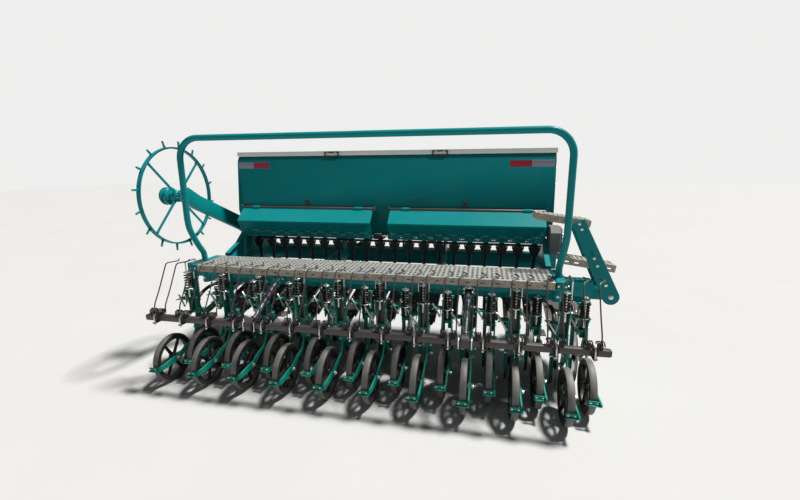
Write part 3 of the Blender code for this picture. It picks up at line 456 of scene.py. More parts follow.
def mixed(tree, share, one, two):
    made = add(tree, "ShaderNodeMix", data_type="RGBA")
    tree.links.new(share, made.inputs["Factor"])
    for label, value in (("A", one), ("B", two)):
        socket = [s for s in made.inputs if s.name == label and s.type == "RGBA"][0]
        if isinstance(value, tuple):
            socket.default_value = (*value, 1)
        else:
            tree.links.new(value, socket)
    return [s for s in made.outputs if s.type == "RGBA"][0]


COLOUR, NUMBER = "NodeSocketColor", "NodeSocketFloat"


def shade_drift():
    """A colour that drifts a little lighter and darker over the surface."""
    tree, source, result = shader_group(
        "shade_drift", (("Colour", COLOUR, (0.5, 0.5, 0.5, 1)), ("Spread", NUMBER, 0.1),
                        ("Size", NUMBER, 3.0)), (("Colour", COLOUR),))
    drift = noise(tree, source.outputs["Size"], 5.0, 0.6)
    half = math(tree, "SUBTRACT", drift, 0.5)
    change = math(tree, "MULTIPLY", half, source.outputs["Spread"])
    value = math(tree, "ADD", math(tree, "MULTIPLY", change, 4.0), 1.0)
    tint = add(tree, "ShaderNodeHueSaturation")
    tree.links.new(source.outputs["Colour"], tint.inputs["Color"])
    tree.links.new(value, tint.inputs["Value"])
    tree.links.new(tint.outputs["Color"], result.inputs["Colour"])
    return tree


def settled_dust():
    """Dust that lies thickest on faces that look up."""
    tree, source, result = shader_group(
        "settled_dust", (("Colour", COLOUR, (0.5, 0.5, 0.5, 1)), ("Dust", COLOUR, (0.4, 0.35, 0.28, 1)),
                         ("Amount", NUMBER, 0.3), ("Size", NUMBER, 8.0)),
        (("Colour", COLOUR), ("Mask", NUMBER)))
    normal = add(tree, "ShaderNodeNewGeometry").outputs["Normal"]
    split = add(tree, "ShaderNodeSeparateXYZ")
    tree.links.new(normal, split.inputs["Vector"])
    up = spread(tree, split.outputs["Z"], -0.2, 1.0, 0.12, 1.0)
    patch = spread(tree, noise(tree, source.outputs["Size"], 6.0, 0.65), 0.35, 0.75)
    mask = math(tree, "MULTIPLY", math(tree, "MULTIPLY", up, patch), source.outputs["Amount"], True)
    tree.links.new(mixed(tree, mask, source.outputs["Colour"], source.outputs["Dust"]),
                   result.inputs["Colour"])
    tree.links.new(mask, result.inputs["Mask"])
    return tree


def small_scuffs():
    """Small scattered scuffs that show another colour."""
    tree, source, result = shader_group(
        "small_scuffs", (("Colour", COLOUR, (0.5, 0.5, 0.5, 1)), ("Bare", COLOUR, (0.3, 0.3, 0.3, 1)),
                         ("Amount", NUMBER, 0.2), ("Size", NUMBER, 40.0)),
        (("Colour", COLOUR), ("Mask", NUMBER)))
    fine = noise(tree, source.outputs["Size"], 8.0, 0.75)
    broad = noise(tree, 2.3, 3.0)
    both = math(tree, "ADD", math(tree, "MULTIPLY", fine, 0.75), math(tree, "MULTIPLY", broad, 0.25))
    edge = math(tree, "SUBTRACT", 0.74, math(tree, "MULTIPLY", source.outputs["Amount"], 0.2))
    mask = spread(tree, both, edge, math(tree, "ADD", edge, 0.03))
    tree.links.new(mixed(tree, mask, source.outputs["Colour"], source.outputs["Bare"]),
                   result.inputs["Colour"])
    tree.links.new(mask, result.inputs["Mask"])
    return tree


def fine_relief():
    """A height for bump: broad waviness with fine grain on it."""
    tree, source, result = shader_group(
        "fine_relief", (("Grain size", NUMBER, 300.0), ("Grain", NUMBER, 0.5),
                        ("Wave size", NUMBER, 12.0), ("Wave", NUMBER, 0.5)), (("Height", NUMBER),))
    grain = math(tree, "MULTIPLY", noise(tree, source.outputs["Grain size"], 3.0),
                 source.outputs["Grain"])
    wave = math(tree, "MULTIPLY", noise(tree, source.outputs["Wave size"], 2.0),
                source.outputs["Wave"])
    tree.links.new(math(tree, "ADD", grain, wave), result.inputs["Height"])
    return tree


DRIFT, DUST, SCUFFS, RELIEF = shade_drift(), settled_dust(), small_scuffs(), fine_relief()


def grouped(tree, group, **values):
    """A group placed in a material; each value is a number, a colour or a socket."""
    made = add(tree, "ShaderNodeGroup", node_tree=group)
    for label, value in values.items():
        socket = made.inputs[label.replace("_", " ")]
        if isinstance(value, (int, float)):
            socket.default_value = value
        elif isinstance(value, tuple):
            socket.default_value = (*value, 1)
        else:
            tree.links.new(value, socket)
    return made


def new_material(name):
    made = bpy.data.materials.new(name)
    made.use_nodes = True
    return made, made.node_tree, made.node_tree.nodes["Principled BSDF"]


def bumped(tree, shader, height, depth):
    bump = add(tree, "ShaderNodeBump")
    bump.inputs["Strength"].default_value = 1.0
    bump.inputs["Distance"].default_value = depth
    tree.links.new(height, bump.inputs["Height"])
    tree.links.new(bump.outputs["Normal"], shader.inputs["Normal"])


SOIL = (0.34, 0.28, 0.20)


def coated(name, colour, roughness, metallic=0.0, drift=0.08, drift_size=2.5, dust=0.15, scuffs=0.1,
           bare=(0.35, 0.35, 0.34), grain=300.0, depth=0.0002, coat=0.0, base=None, shine=0.5):
    """Paint, plastic, rubber or metal with drift, dust, scuffs and relief of its own amounts."""
    made, tree, shader = new_material(name)
    start = base(tree, colour) if base else colour
    tint = grouped(tree, DRIFT, Colour=start, Spread=drift, Size=drift_size).outputs["Colour"]
    worn = grouped(tree, SCUFFS, Colour=tint, Bare=bare, Amount=scuffs, Size=45.0)
    dusty = grouped(tree, DUST, Colour=worn.outputs["Colour"], Dust=SOIL, Amount=dust, Size=7.0)
    tree.links.new(dusty.outputs["Colour"], shader.inputs["Base Color"])
    rough = math(tree, "ADD", math(tree, "MULTIPLY", dusty.outputs["Mask"], 0.5),
                 math(tree, "ADD", math(tree, "MULTIPLY", noise(tree, 9.0), 0.12), roughness - 0.06),
                 True)
    tree.links.new(rough, shader.inputs["Roughness"])
    shader.inputs["Metallic"].default_value = metallic
    shader.inputs["Specular IOR Level"].default_value = shine
    shader.inputs["Coat Weight"].default_value = coat
    shader.inputs["Coat Roughness"].default_value = 0.12
    relief = grouped(tree, RELIEF, Grain_size=grain, Grain=0.5, Wave_size=9.0, Wave=0.6)
    bumped(tree, shader, relief.outputs["Height"], depth)
    return made


def spangle(tree, colour):
    """The crystal flakes of hot-dip zinc."""
    cells = add(tree, "ShaderNodeTexVoronoi")
    cells.inputs["Scale"].default_value = 90.0
    tree.links.new(add(tree, "ShaderNodeTexCoord").outputs["Object"], cells.inputs["Vector"])
    split = add(tree, "ShaderNodeSeparateColor")
    tree.links.new(cells.outputs["Color"], split.inputs["Color"])
    darker = tuple(c * 0.62 for c in colour)
    return mixed(tree, split.outputs["Red"], darker, colour)


def soil_smears(tree, colour):
    """Dry soil wiped along a blade or a tread."""
    share = spread(tree, noise(tree, 5.0, 7.0, 0.7, (1.0, 2.2, 0.8)), 0.42, 0.72)
    return mixed(tree, share, colour, (0.27, 0.235, 0.185))


def prism_cells(tree, colour):
    """The fine cells of reflecting tape."""
    cells = add(tree, "ShaderNodeTexVoronoi", feature="DISTANCE_TO_EDGE")
    cells.inputs["Scale"].default_value = 260.0
    cells.inputs["Randomness"].default_value = 0.15
    tree.links.new(add(tree, "ShaderNodeTexCoord").outputs["Object"], cells.inputs["Vector"])
    share = spread(tree, cells.outputs["Distance"], 0.02, 0.10)
    return mixed(tree, share, tuple(c * 0.45 for c in colour), colour)


GREEN = coated("teal_enamel", (0.0005, 0.200, 0.212), 0.34, drift=0.05, dust=0.05, scuffs=0.05,
               bare=(0.11, 0.13, 0.13), depth=0.00012, coat=0.02, shine=0.12)
# The same teal enamel made darker for the hopper shell: painted shade, for the hopper's rear face that stands
# in shade.
HOPPER_SHADED_GREEN = coated("teal_enamel_painted_shade", (0.0003, 0.140, 0.152), 0.34, drift=0.05, dust=0.04, scuffs=0.04,
                      bare=(0.11, 0.13, 0.13), depth=0.00012, coat=0.02, shine=0.10)
ROW_GREEN = coated("teal_enamel_low", (0.001, 0.265, 0.205), 0.38, drift=0.08, dust=0.14, scuffs=0.12,
                   bare=(0.16, 0.15, 0.14), depth=0.0002, coat=0.04, shine=0.22)
WHITE = coated("off_white_enamel", (0.69, 0.73, 0.69), 0.30, drift=0.03, dust=0.12, scuffs=0.04,
               depth=0.0001, coat=0.3)
GALVANISED = coated("hot_dip_zinc", (0.60, 0.60, 0.57), 0.42, 0.55, drift=0.08, dust=0.22,
                    scuffs=0.12, bare=(0.30, 0.28, 0.25), base=spangle, depth=0.0001)
WORN_LIP = coated("worn_zinc", (0.40, 0.35, 0.28), 0.50, 0.35, drift=0.10, dust=0.35, scuffs=0.2,
                  bare=(0.22, 0.19, 0.15), base=spangle, depth=0.0001)
ZINC = coated("bright_zinc", (0.72, 0.71, 0.66), 0.28, 0.9, drift=0.06, dust=0.12, scuffs=0.1,
              bare=(0.40, 0.36, 0.28), depth=0.00008)
CHROME = coated("chrome_plate", (0.80, 0.80, 0.80), 0.12, 1.0, drift=0.02, dust=0.05, scuffs=0.02,
                depth=0.00004)
STRUT = coated("grey_lavender_enamel", (0.10, 0.09, 0.125), 0.38, 0.25, drift=0.06, dust=0.10, scuffs=0.10,
               bare=(0.20, 0.18, 0.18), depth=0.0001)
DARK_SPRING = coated("oiled_spring_steel", (0.022, 0.022, 0.024), 0.38, 0.5, dust=0.12, scuffs=0.15,
                     bare=(0.14, 0.11, 0.09), depth=0.00008)
LEG_STEEL = coated("tine_steel", (0.085, 0.080, 0.088), 0.42, 0.6, drift=0.12, dust=0.15, scuffs=0.3,
                   bare=(0.24, 0.20, 0.18), depth=0.00008)
BAR_STEEL = coated("satin_dark_steel", (0.060, 0.052, 0.055), 0.42, 0.35, drift=0.10, dust=0.22,
                   scuffs=0.22, bare=(0.17, 0.13, 0.11), depth=0.0002)
CASTING = coated("grey_casting", (0.16, 0.165, 0.17), 0.52, 0.4, drift=0.1, dust=0.2, scuffs=0.15,
                 grain=180.0, depth=0.0007)
BLACK = coated("moulded_black", (0.018, 0.019, 0.022), 0.48, drift=0.1, dust=0.16, scuffs=0.08,
               bare=(0.07, 0.07, 0.07), grain=420.0, depth=0.0002)
HOSE = coated("black_hose", (0.014, 0.014, 0.016), 0.42, drift=0.08, dust=0.18, scuffs=0.05,
              bare=(0.06, 0.06, 0.06), depth=0.00015)
TYRE = coated("tyre_wall", (0.016, 0.016, 0.018), 0.55, drift=0.12, dust=0.22, scuffs=0.12,
              bare=(0.08, 0.075, 0.07), grain=260.0, depth=0.0004)
TREAD = coated("worn_tread", (0.125, 0.122, 0.120), 0.55, drift=0.16, drift_size=9.0, dust=0.25,
               scuffs=0.4, bare=(0.19, 0.18, 0.165), grain=200.0, depth=0.0006)
WHEEL_IRON = coated("black_wheel_iron", (0.014, 0.015, 0.018), 0.42, 0.3, drift=0.1, dust=0.20,
                    scuffs=0.12, bare=(0.10, 0.09, 0.08), grain=200.0, depth=0.0004)
DISC = coated("worn_disc_steel", (0.50, 0.50, 0.50), 0.30, 0.9, drift=0.12, dust=0.15, scuffs=0.3,
              bare=(0.24, 0.17, 0.11), base=soil_smears, depth=0.0001)
RED_TAPE = coated("red_tape", (0.42, 0.010, 0.035), 0.32, drift=0.04, dust=0.08, scuffs=0.03,
                  base=prism_cells, depth=0.00005, coat=0.4)
GREY_TAPE = coated("silver_tape", (0.34, 0.34, 0.42), 0.35, 0.2, drift=0.04, dust=0.08, scuffs=0.03,
                   base=prism_cells, depth=0.00005, coat=0.4)
FLOOR = coated("pale_floor", (0.44, 0.44, 0.435), 0.85, drift=0.02, drift_size=0.8, dust=0.0, scuffs=0.0,
               grain=90.0, depth=0.0003)


# ================================================================ small hardware
def model_bolt():
    """A hex nut on its washer with the thread's end, along +X, for a 1 m thread."""
    return joined([rod((0, 0, 0), (0.16, 0, 0), 1.12, ZINC, 14, 0.04),
                   rod((0.15, 0, 0), (0.85, 0, 0), 0.95, ZINC, 6, 0.09),
                   rod((0.80, 0, 0), (1.10, 0, 0), 0.46, ZINC, 10, 0.08)])


BOLT = model_bolt()


def bolt(place, axis=(1, 0, 0), size=0.010):
    """A copy of the bolt on a face, its head along the axis."""
    return copied(BOLT, Matrix.Translation(place) @ facing(axis) @ Matrix.Scale(size, 4))


def collar(place, axis, outer, bore, width, material, edge=0.0015, steps=32):
    """A ring about an axis, with its edges broken."""
    half = width / 2
    profile = [(-half + edge, outer), (half - edge, outer), (half, outer - edge), (half, bore + edge),
               (half - edge, bore), (-half + edge, bore), (-half, bore + edge), (-half, outer - edge)]
    return placed(turned(profile + [profile[0]], material, steps, axis), Vector(place))


def leaning(start, end):
    """From a flat sheet (X, along) to one that leans from one (Y, Z) point to another."""
    along = Vector((0, end[0] - start[0], end[1] - start[1])).normalized()
    across = Vector((1, 0, 0))
    turn = Matrix((across, along, across.cross(along))).transposed().to_4x4()
    return Matrix.Translation((0, start[0], start[1])) @ turn


def perforated(width, length, pitch, bar, thick, material):
    """A punched sheet from the origin, its holes cut with an inset in each cell."""
    columns, lines = round(width / pitch[0]), round(length / pitch[1])
    bpy.ops.mesh.primitive_grid_add(x_subdivisions=columns, y_subdivisions=lines, size=1,
                                    location=(width / 2, length / 2, 0))
    thing = bpy.context.object
    thing.scale = (width, length, 1)
    applied(thing)
    bpy.ops.object.mode_set(mode="EDIT")
    bpy.ops.mesh.select_mode(type="FACE")
    bpy.ops.mesh.select_all(action="SELECT")
    bpy.ops.mesh.inset(thickness=bar / 2, use_individual=True)
    bpy.ops.mesh.delete(type="FACE")
    bpy.ops.object.mode_set(mode="OBJECT")
    return paint(finish_modifier(thing, "SOLIDIFY", thickness=thick, offset=0), material)


# ================================================================ joints
JOINTS = {j["child"]: j for j in frame["joints"]}


def pivot(child):
    return Vector(JOINTS[child]["pos_m"]) - BASE


def axis_of(child):
    return Vector(JOINTS[child]["axis"])


def row_x(name):
    return pivot(f"press_wheel_{name}").x


# ================================================================ press wheels and discs
def model_press_wheel():
    """A smooth press wheel about X: tyre, iron rim, ribbed spokes and hub."""
    half, r = WHEEL_WIDTH / 2, WHEEL_R
    tyre = turned([(-half, r - 0.011), (-half + 0.003, r - 0.004), (-half + 0.008, r - 0.0012), (0, r),
                   (half - 0.008, r - 0.0012), (half - 0.003, r - 0.004), (half, r - 0.011),
                   (half, r - 0.024), (half - 0.006, r - 0.031), (-half + 0.006, r - 0.031),
                   (-half, r - 0.024), (-half, r - 0.011)], TYRE, 56)
    tyre.data.materials.append(TREAD)
    for face in tyre.data.polygons:
        centre = face.center
        if sqrt(centre.y ** 2 + centre.z ** 2) > r - 0.0045:
            face.material_index = 1
    inner = r - 0.030
    rim = turned([(-0.018, inner + 0.002), (0.018, inner + 0.002), (0.018, inner - 0.005),
                  (0.014, inner - 0.009), (-0.014, inner - 0.009), (-0.018, inner - 0.005),
                  (-0.018, inner + 0.002)], WHEEL_IRON, 48)
    hub = turned([(-0.022, 0.0), (-0.022, 0.020), (-0.019, 0.026), (-0.010, 0.031), (0.010, 0.031),
                  (0.019, 0.026), (0.022, 0.020), (0.022, 0.0)], WHEEL_IRON, 28)
    cap = turned([(-0.0225, 0.0), (-0.0225, 0.012), (-0.0205, 0.014), (-0.020, 0.0)], ZINC, 20)
    outline = [(0.020, -0.013), (0.020, 0.013), (inner - 0.004, 0.008), (inner - 0.004, -0.008)]
    spoke = joined([plate("X", outline, -0.006, 0.006, WHEEL_IRON, 0.0018),
                    plate("X", [(0.020, -0.004), (0.020, 0.004), (inner - 0.004, 0.003),
                                (inner - 0.004, -0.003)], -0.012, 0.012, WHEEL_IRON, 0.0015)])
    spokes = [copied(spoke, Matrix.Rotation(2 * pi * k / 6, 4, "X")) for k in range(6)]
    scrap(spoke)
    return joined([tyre, rim, hub, cap] + spokes)


def model_disc():
    """An opener disc about X: a ground edge, a dished centre and a bolted hub."""
    r = DISC_R
    blade = turned([(0.0025, 0.0), (0.0025, r - 0.016), (0.0006, r), (-0.0006, r), (-0.0025, r - 0.016),
                    (-0.0025, 0.0)], DISC, 64, angle=12)
    hub = turned([(0.015, 0.0), (0.015, 0.022), (0.012, 0.028), (0.006, 0.038), (0.002, 0.042),
                  (-0.002, 0.042), (-0.006, 0.038), (-0.012, 0.028), (-0.015, 0.022), (-0.015, 0.0)],
                 BLACK, 28)
    rivets = [rod((side * 0.0025, y, z), (side * 0.0065, y, z), 0.0055, ZINC, 8, tip=0.0035)
              for side in (1, -1) for y, z in ring(0, 0, 0.050, 5)]
    return joined([blade, hub] + rivets)


def wheels_and_discs():
    wheel, disc = model_press_wheel(), model_disc()
    for i, (name, _) in enumerate(ROWS):
        node = f"press_wheel_{name}"
        spun = Matrix.Rotation(0.7 * i, 4, "X")
        settle(f"wheel_{name}", [copied(wheel, spun, pivot(node))], node, [node])
        node = f"opener_disc_{name}"
        spun = Matrix.Rotation(0.4 * i, 4, "X")
        settle(f"disc_{name}", [copied(disc, spun, facing(axis_of(node)), pivot(node))], node, [node])
    scrap(wheel, disc)


# ================================================================ rows
def press_arm():
    """The S-shaped arm from the scraper past the hub up to its eye, with its nuts."""
    inner, outer = ARM_INNER, ARM_INNER + ARM_THICK
    scraper_y, scraper_z = AXLE_Y - WHEEL_R - 0.028, WHEEL_R - 0.008
    line = smooth([(scraper_y + 0.004, scraper_z), (AXLE_Y - 0.12, scraper_z - 0.004),
                   (AXLE_Y - 0.045, WHEEL_R - 0.004), (AXLE_Y + 0.02, WHEEL_R + 0.002),
                   (AXLE_Y + 0.095, WHEEL_R + 0.038), (EYE[0] - 0.075, EYE[1] - 0.085),
                   (EYE[0] - 0.030, EYE[1] - 0.030), EYE], 5)
    arm = plate("X", strip(line, lambda i: 0.030 + 0.014 * sin(pi * min(1, i / 22)), 6), inner, outer,
                ROW_GREEN, 0.0018)
    low = scraper_y + 0.0005
    blade = block((-0.032, low + 0.012, scraper_z - 0.014), (inner + 0.008, low + 0.0175, scraper_z + 0.014),
                  ROW_GREEN, 0.0015)
    shelf = block((-0.032, low, scraper_z - 0.014), (inner + 0.012, low + 0.016, scraper_z - 0.009),
                  ROW_GREEN, 0.0012)
    gusset = plate("Z", [(inner + 0.004, low), (inner - 0.012, low + 0.014), (inner + 0.004, low + 0.034)],
                   scraper_z - 0.013, scraper_z - 0.009, ROW_GREEN, 0.0008)
    eye = collar((inner + 0.004, *EYE), (1, 0, 0), 0.030, 0.012, 0.034, ROW_GREEN)
    pin = rod((inner - 0.020, *EYE), (outer + 0.014, *EYE), 0.012, ZINC, 16, 0.001)
    boss = collar((outer + 0.003, AXLE_Y, WHEEL_R), (1, 0, 0), 0.024, 0.009, 0.010, ROW_GREEN)
    return [arm, blade, shelf, gusset, eye, pin, boss,
            rod((0.0225, AXLE_Y, WHEEL_R), (inner + 0.002, AXLE_Y, WHEEL_R), 0.011, ZINC, 16),
            bolt((outer + 0.008, AXLE_Y, WHEEL_R), (1, 0, 0), 0.0125),
            bolt((outer + 0.011, *EYE), (1, 0, 0), 0.014), bolt((inner - 0.014, *EYE), (-1, 0, 0), 0.012),
            bolt((-0.020, low + 0.012, scraper_z + 0.002), (0, -1, 0), 0.005),
            bolt((0.018, low + 0.012, scraper_z + 0.002), (0, -1, 0), 0.005)]


def carrier_plate():
    """The plate that holds the disc's stub and hangs from the tower."""
    inner, outer = ARM_INNER + 0.001, ARM_INNER + ARM_THICK - 0.001
    y, z, hub = BOOT_Y + 0.02, DISC_Z, 0.036
    low = [(y + hub * sin(a), z - hub * cos(a)) for a in (pi * (i / 8 - 0.5) for i in range(9))]
    outline = low + [(EYE[0] + 0.085, EYE[1] + 0.040), (TOWER_Y + 0.028, TOWER_FOOT + 0.06),
                     (TOWER_Y - 0.026, TOWER_FOOT + 0.06), (EYE[0] - 0.034, EYE[1] + 0.020),
                     (EYE[0] - 0.018, EYE[1] - 0.024)]
    holes = [ring(EYE[0] + 0.030, EYE[1] + 0.055, 0.012, 12),
             slot_hole(EYE[0] + 0.070, EYE[1] - 0.045, 0.045, 0.014, -1.1)]
    return [plate("X", outline, inner, outer, ROW_GREEN, 0.0015, holes),
            rod((0.0152, y, z), (inner + 0.001, y, z), 0.014, ZINC, 16),
            bolt((outer, y, z), (1, 0, 0), 0.013)]


def tower(top):
    """A folded channel, open to the rear, with its spring, clamp and slotted link."""
    left, right = -0.025, ARM_INNER + ARM_THICK - 0.002
    rear, front = TOWER_Y - 0.025, TOWER_Y + 0.025
    middle_x = (left + right) / 2
    side = [(rear, TOWER_FOOT), (front, TOWER_FOOT + 0.01), (front, top), (rear + 0.012, top),
            (rear + 0.012, top - 0.12), (rear, top - 0.15)]
    slots = [slot_hole(TOWER_Y - 0.003, TOWER_FOOT + 0.10, 0.055, 0.012, pi / 2),
             ring(TOWER_Y - 0.003, TOWER_FOOT + 0.045, 0.006, 10)]
    pieces = [plate("X", side, left, left + 0.005, ROW_GREEN, 0.001, slots),
              plate("X", side, right - 0.005, right, ROW_GREEN, 0.001, slots),
              # the channel's web is dark steel, not row teal: painted shade inside the channel
              block((left + 0.005, front - 0.005, TOWER_FOOT + 0.01), (right - 0.005, front, top), BAR_STEEL,
                    0.001),
              block((left - 0.012, BEAM_Y - 0.055 + (TOWER_Y - 0.315), top - 0.010),
                    (right + 0.012, TOWER_Y + 0.05, top - 0.0003), ROW_GREEN, 0.002)]
    spring_y = TOWER_Y - 0.040
    foot = top - 0.085
    pieces += [rod((middle_x, spring_y, foot - 0.075), (middle_x, spring_y, top + 0.050), 0.0065, ZINC, 10),
               coil((middle_x, spring_y, foot), (middle_x, spring_y, top + 0.030), 0.0255, 0.0038, 6,
                    DARK_SPRING, 6, 16),
               collar((middle_x, spring_y, foot - 0.005), (0, 0, 1), 0.030, 0.0068, 0.006, ZINC, 0.001, 20),
               collar((middle_x, spring_y, top + 0.035), (0, 0, 1), 0.028, 0.0068, 0.006, ZINC, 0.001, 20),
               bolt((middle_x, spring_y, foot - 0.010), (0, 0, -1), 0.0095),
               bolt((middle_x, spring_y, foot - 0.040), (0, 0, -1), 0.0095)]
    for side in (-1, 1):
        x = middle_x + side * 0.030
        fork = strip([(spring_y - 0.004, foot - 0.012), (rear + 0.010, foot - 0.050),
                      (rear + 0.016, foot - 0.130)], 0.026, 4)
        pieces.append(plate("X", fork, x - 0.003, x + 0.003, ROW_GREEN, 0.0008,
                            [ring(spring_y - 0.004, foot - 0.012, 0.005, 10)]))
        pieces.append(bolt((x + side * 0.003, spring_y - 0.004, foot - 0.012), (side, 0, 0), 0.0085))
        pieces.append(bolt((x + side * 0.003, rear + 0.012, foot - 0.085), (side, 0, 0), 0.0075))
    front_y = front + 0.019
    pieces += [rod((0.006, front_y, TOWER_FOOT + 0.07), (0.006, front_y, top - 0.03), 0.006, ZINC, 10),
               coil((0.006, front_y, TOWER_FOOT + 0.09), (0.006, front_y, top - 0.05), 0.017, 0.0035,
                    (top - TOWER_FOOT - 0.14) / 0.016, DARK_SPRING, 5, 10)]
    link = [Vector((TOWER_Y - 0.045, TOWER_FOOT + 0.185)), Vector((TOWER_Y + 0.012, TOWER_FOOT + 0.045))]
    half = (link[0] + link[1]) / 2
    lean = atan2(link[1].y - link[0].y, link[1].x - link[0].x)
    pieces += [plate("X", strip(link, 0.026, 6), left - 0.007, left - 0.002, ZINC, 0.001,
                     [slot_hole(half.x, half.y, 0.055, 0.010, lean), ring(*link[0], 0.005, 10)]),
               bolt((left - 0.007, *link[1]), (-1, 0, 0), 0.008)]
    tab_z = TOWER_FOOT + 0.125
    tab = [(left + 0.004, rear + 0.046), (left + 0.004, rear - 0.014), (left - 0.058, rear - 0.014),
           (left - 0.080, rear - 0.034), (left - 0.066, rear + 0.012), (left - 0.080, rear + 0.052)]
    pieces += [plate("Z", tab, tab_z - 0.004, tab_z + 0.004, ROW_GREEN, 0.001),
               plate("X", [(rear - 0.004, tab_z - 0.045), (rear - 0.004, tab_z), (rear + 0.030, tab_z)],
                     left - 0.022, left - 0.017, ROW_GREEN, 0.0008),
               rod((left - 0.020, rear - 0.020, tab_z - 0.055), (left - 0.078, rear - 0.004, tab_z + 0.035),
                   0.0072, ZINC, 10, 0.001),
               bolt((left - 0.026, rear - 0.019, tab_z - 0.046), (0.55, -0.15, -0.82), 0.0095),
               bolt((left - 0.062, rear - 0.009, tab_z + 0.010), (-0.55, 0.15, 0.82), 0.0095)]
    pieces += [bolt((x, rear + 0.020, top - 0.010), (0, 0, -1), 0.008) for x in (left - 0.004, right + 0.004)]
    pieces += [bolt((right, TOWER_Y - 0.004, TOWER_FOOT + z), (1, 0, 0), 0.008) for z in (0.02, 0.045)]
    return pieces


def boot():
    """The seed boot with its hose collar and its bracket."""
    x0, x1 = BOOT_X - 0.0125, BOOT_X + 0.0125
    y0, y1 = BOOT_Y - 0.016, BOOT_Y + 0.016
    foot = plate("X", [(y0, 0.115), (y0 + 0.004, 0.062), (y0 + 0.012, 0.050), (y1 + 0.002, 0.052),
                       (y1, 0.115)], x0 + 0.002, x1 - 0.002, BAR_STEEL, 0.002)
    tube = block((x0, y0, 0.105), (x1, y1, BOOT_TOP - 0.002), ROW_GREEN, 0.005)
    band = collar((BOOT_X, BOOT_Y, BOOT_TOP - 0.004), (0, 0, 1), 0.0185, 0.0125, 0.012, BLACK)
    shelf = block((BOOT_X, TOWER_Y, BOOT_TOP - 0.034), (ARM_INNER + 0.004, BOOT_Y, BOOT_TOP - 0.012),
                  ROW_GREEN, 0.002)
    clip = block((x0 - 0.003, y0 - 0.003, 0.250), (x1 + 0.003, y1 + 0.003, 0.262), ZINC, 0.001)
    return [foot, tube, band, shelf, clip, bolt((x0 - 0.003, BOOT_Y, 0.256), (-1, 0, 0), 0.005)]


def drag_arm(lead):
    """The bar that draws the unit from the coulter bar, with its clamp there."""
    start, end = Vector((BOOT_Y - 0.04, 0.370)), Vector((BAR_Y - lead, BAR_Z))
    x0, x1 = ARM_INNER - 0.024, ARM_INNER + 0.002
    bar = plate("X", strip((start, end - Vector((0.034, 0.009))), 0.044), x0, x1, ROW_GREEN, 0.003,
                [slot_hole(start.x + 0.14, 0.402, 0.050, 0.012, 0.25)])
    cheeks = [plate("X", [(end.x - 0.075, end.y - 0.034), (end.x - 0.031, end.y - 0.040),
                          (end.x - 0.031, end.y + 0.040), (end.x - 0.075, end.y + 0.022)], x, x + 0.006,
                    ROW_GREEN, 0.001) for x in (x0 - 0.007, x1 + 0.001)]
    nuts = [bolt((x1 + 0.007, end.x - 0.056, end.y - 0.006), (1, 0, 0), 0.010),
            bolt((x0 - 0.007, end.x - 0.056, end.y - 0.006), (-1, 0, 0), 0.010)]
    return [bar] + cheeks + nuts


def shade_fill_sheet(lead):
    """A folded dark sheet over the drag bar, with turned-down edges and punched slots: painted shade that
    stands in for the shadowed ground between the rows.
    """
    start, end = Vector((BOOT_Y - 0.04, 0.370)), Vector((BAR_Y - lead, BAR_Z))
    low, high = start.lerp(end, 0.10), start.lerp(end, 0.90)
    length = (high - low).length
    x0, x1, lift = -0.052, 0.062, 0.0235
    sheet = plate("Z", [(x0 + 0.012, 0), (x1 - 0.012, 0), (x1, 0.05), (x1, length - 0.03),
                        (x1 - 0.010, length), (x0 + 0.010, length), (x0, length - 0.03), (x0, 0.05)],
                  lift, lift + 0.004, BAR_STEEL, 0.001,
                  [slot_hole(x0 + 0.018, length * share, 0.012, 0.010, pi / 2) for share in (0.35, 0.65)])
    edges = [block((x, 0.055, lift - 0.022), (x + 0.0035, length - 0.035, lift + 0.001), BAR_STEEL, 0.001)
             for x in (x0, x1 - 0.0035)]
    heads = [bolt((0.019, length * share, lift + 0.004), (0, 0, 1), 0.0075) for share in (0.14, 0.52, 0.88)]
    return placed(joined([sheet] + edges + heads), leaning(low, high))


def spaced(unit, places, lead=0.0):
    """Copies of a unit at places across the machine, in place of the unit."""
    copies = [copied(unit, Vector((x, lead, 0))) for x in places]
    scrap(unit)
    return copies


def row_pieces(label, lead, top):
    """Settle a row's low parts and its towers; the land wheel's arm swings past the outermost sheet of
    painted shade.
    """
    places = [row_x(name) for name, ahead in ROWS if ahead == lead]
    arms = spaced(joined(press_arm() + carrier_plate() + boot() + drag_arm(lead)), places, lead)
    # dark sheets over the drag bars: painted shade that fills the gaps between the rows
    shade_sheets = spaced(shade_fill_sheet(lead), [x for x in places if x > LAND_ARM_X], lead)
    settle(f"{label}_row_arms", arms + shade_sheets, "chassis", [f"{label}_coulter_row"])
    towers = spaced(joined(tower(top)), places, lead)
    settle(f"{label}_row_towers", towers, "chassis", [f"{label}_coulter_row"])
    return places


def square_beam(half, y, z, size, material=GREEN):
    """A square tube with welded end plates."""
    wide = size / 2
    tube = block((-half + 0.004, y - wide, z - wide), (half - 0.004, y + wide, z + wide), material, 0.006)
    inset = wide - 0.003
    ends = [block((s * (half - 0.004), y - inset, z - inset), (s * half, y + inset, z + inset), material,
                  0.001) for s in (-1, 1)]
    return [tube] + ends


def beam_clamp(middle_x, y, z, size):
    """Two bent clamps round a square beam, with a nut under each rear leg."""
    r, pieces = 0.006, []
    out = size / 2 + r
    for x in (middle_x - 0.034, middle_x + 0.034):
        path = [(x, y - out, z - out - 0.014), (x, y - out, z + out - 0.01), (x, y - out + 0.01, z + out),
                (x, y + out - 0.01, z + out), (x, y + out, z + out - 0.01), (x, y + out, z - out - 0.014)]
        pieces += [wire(path, r, ZINC, 8), bolt((x, y - out, z - out - 0.004), (0, 0, -1), 0.009)]
    return pieces


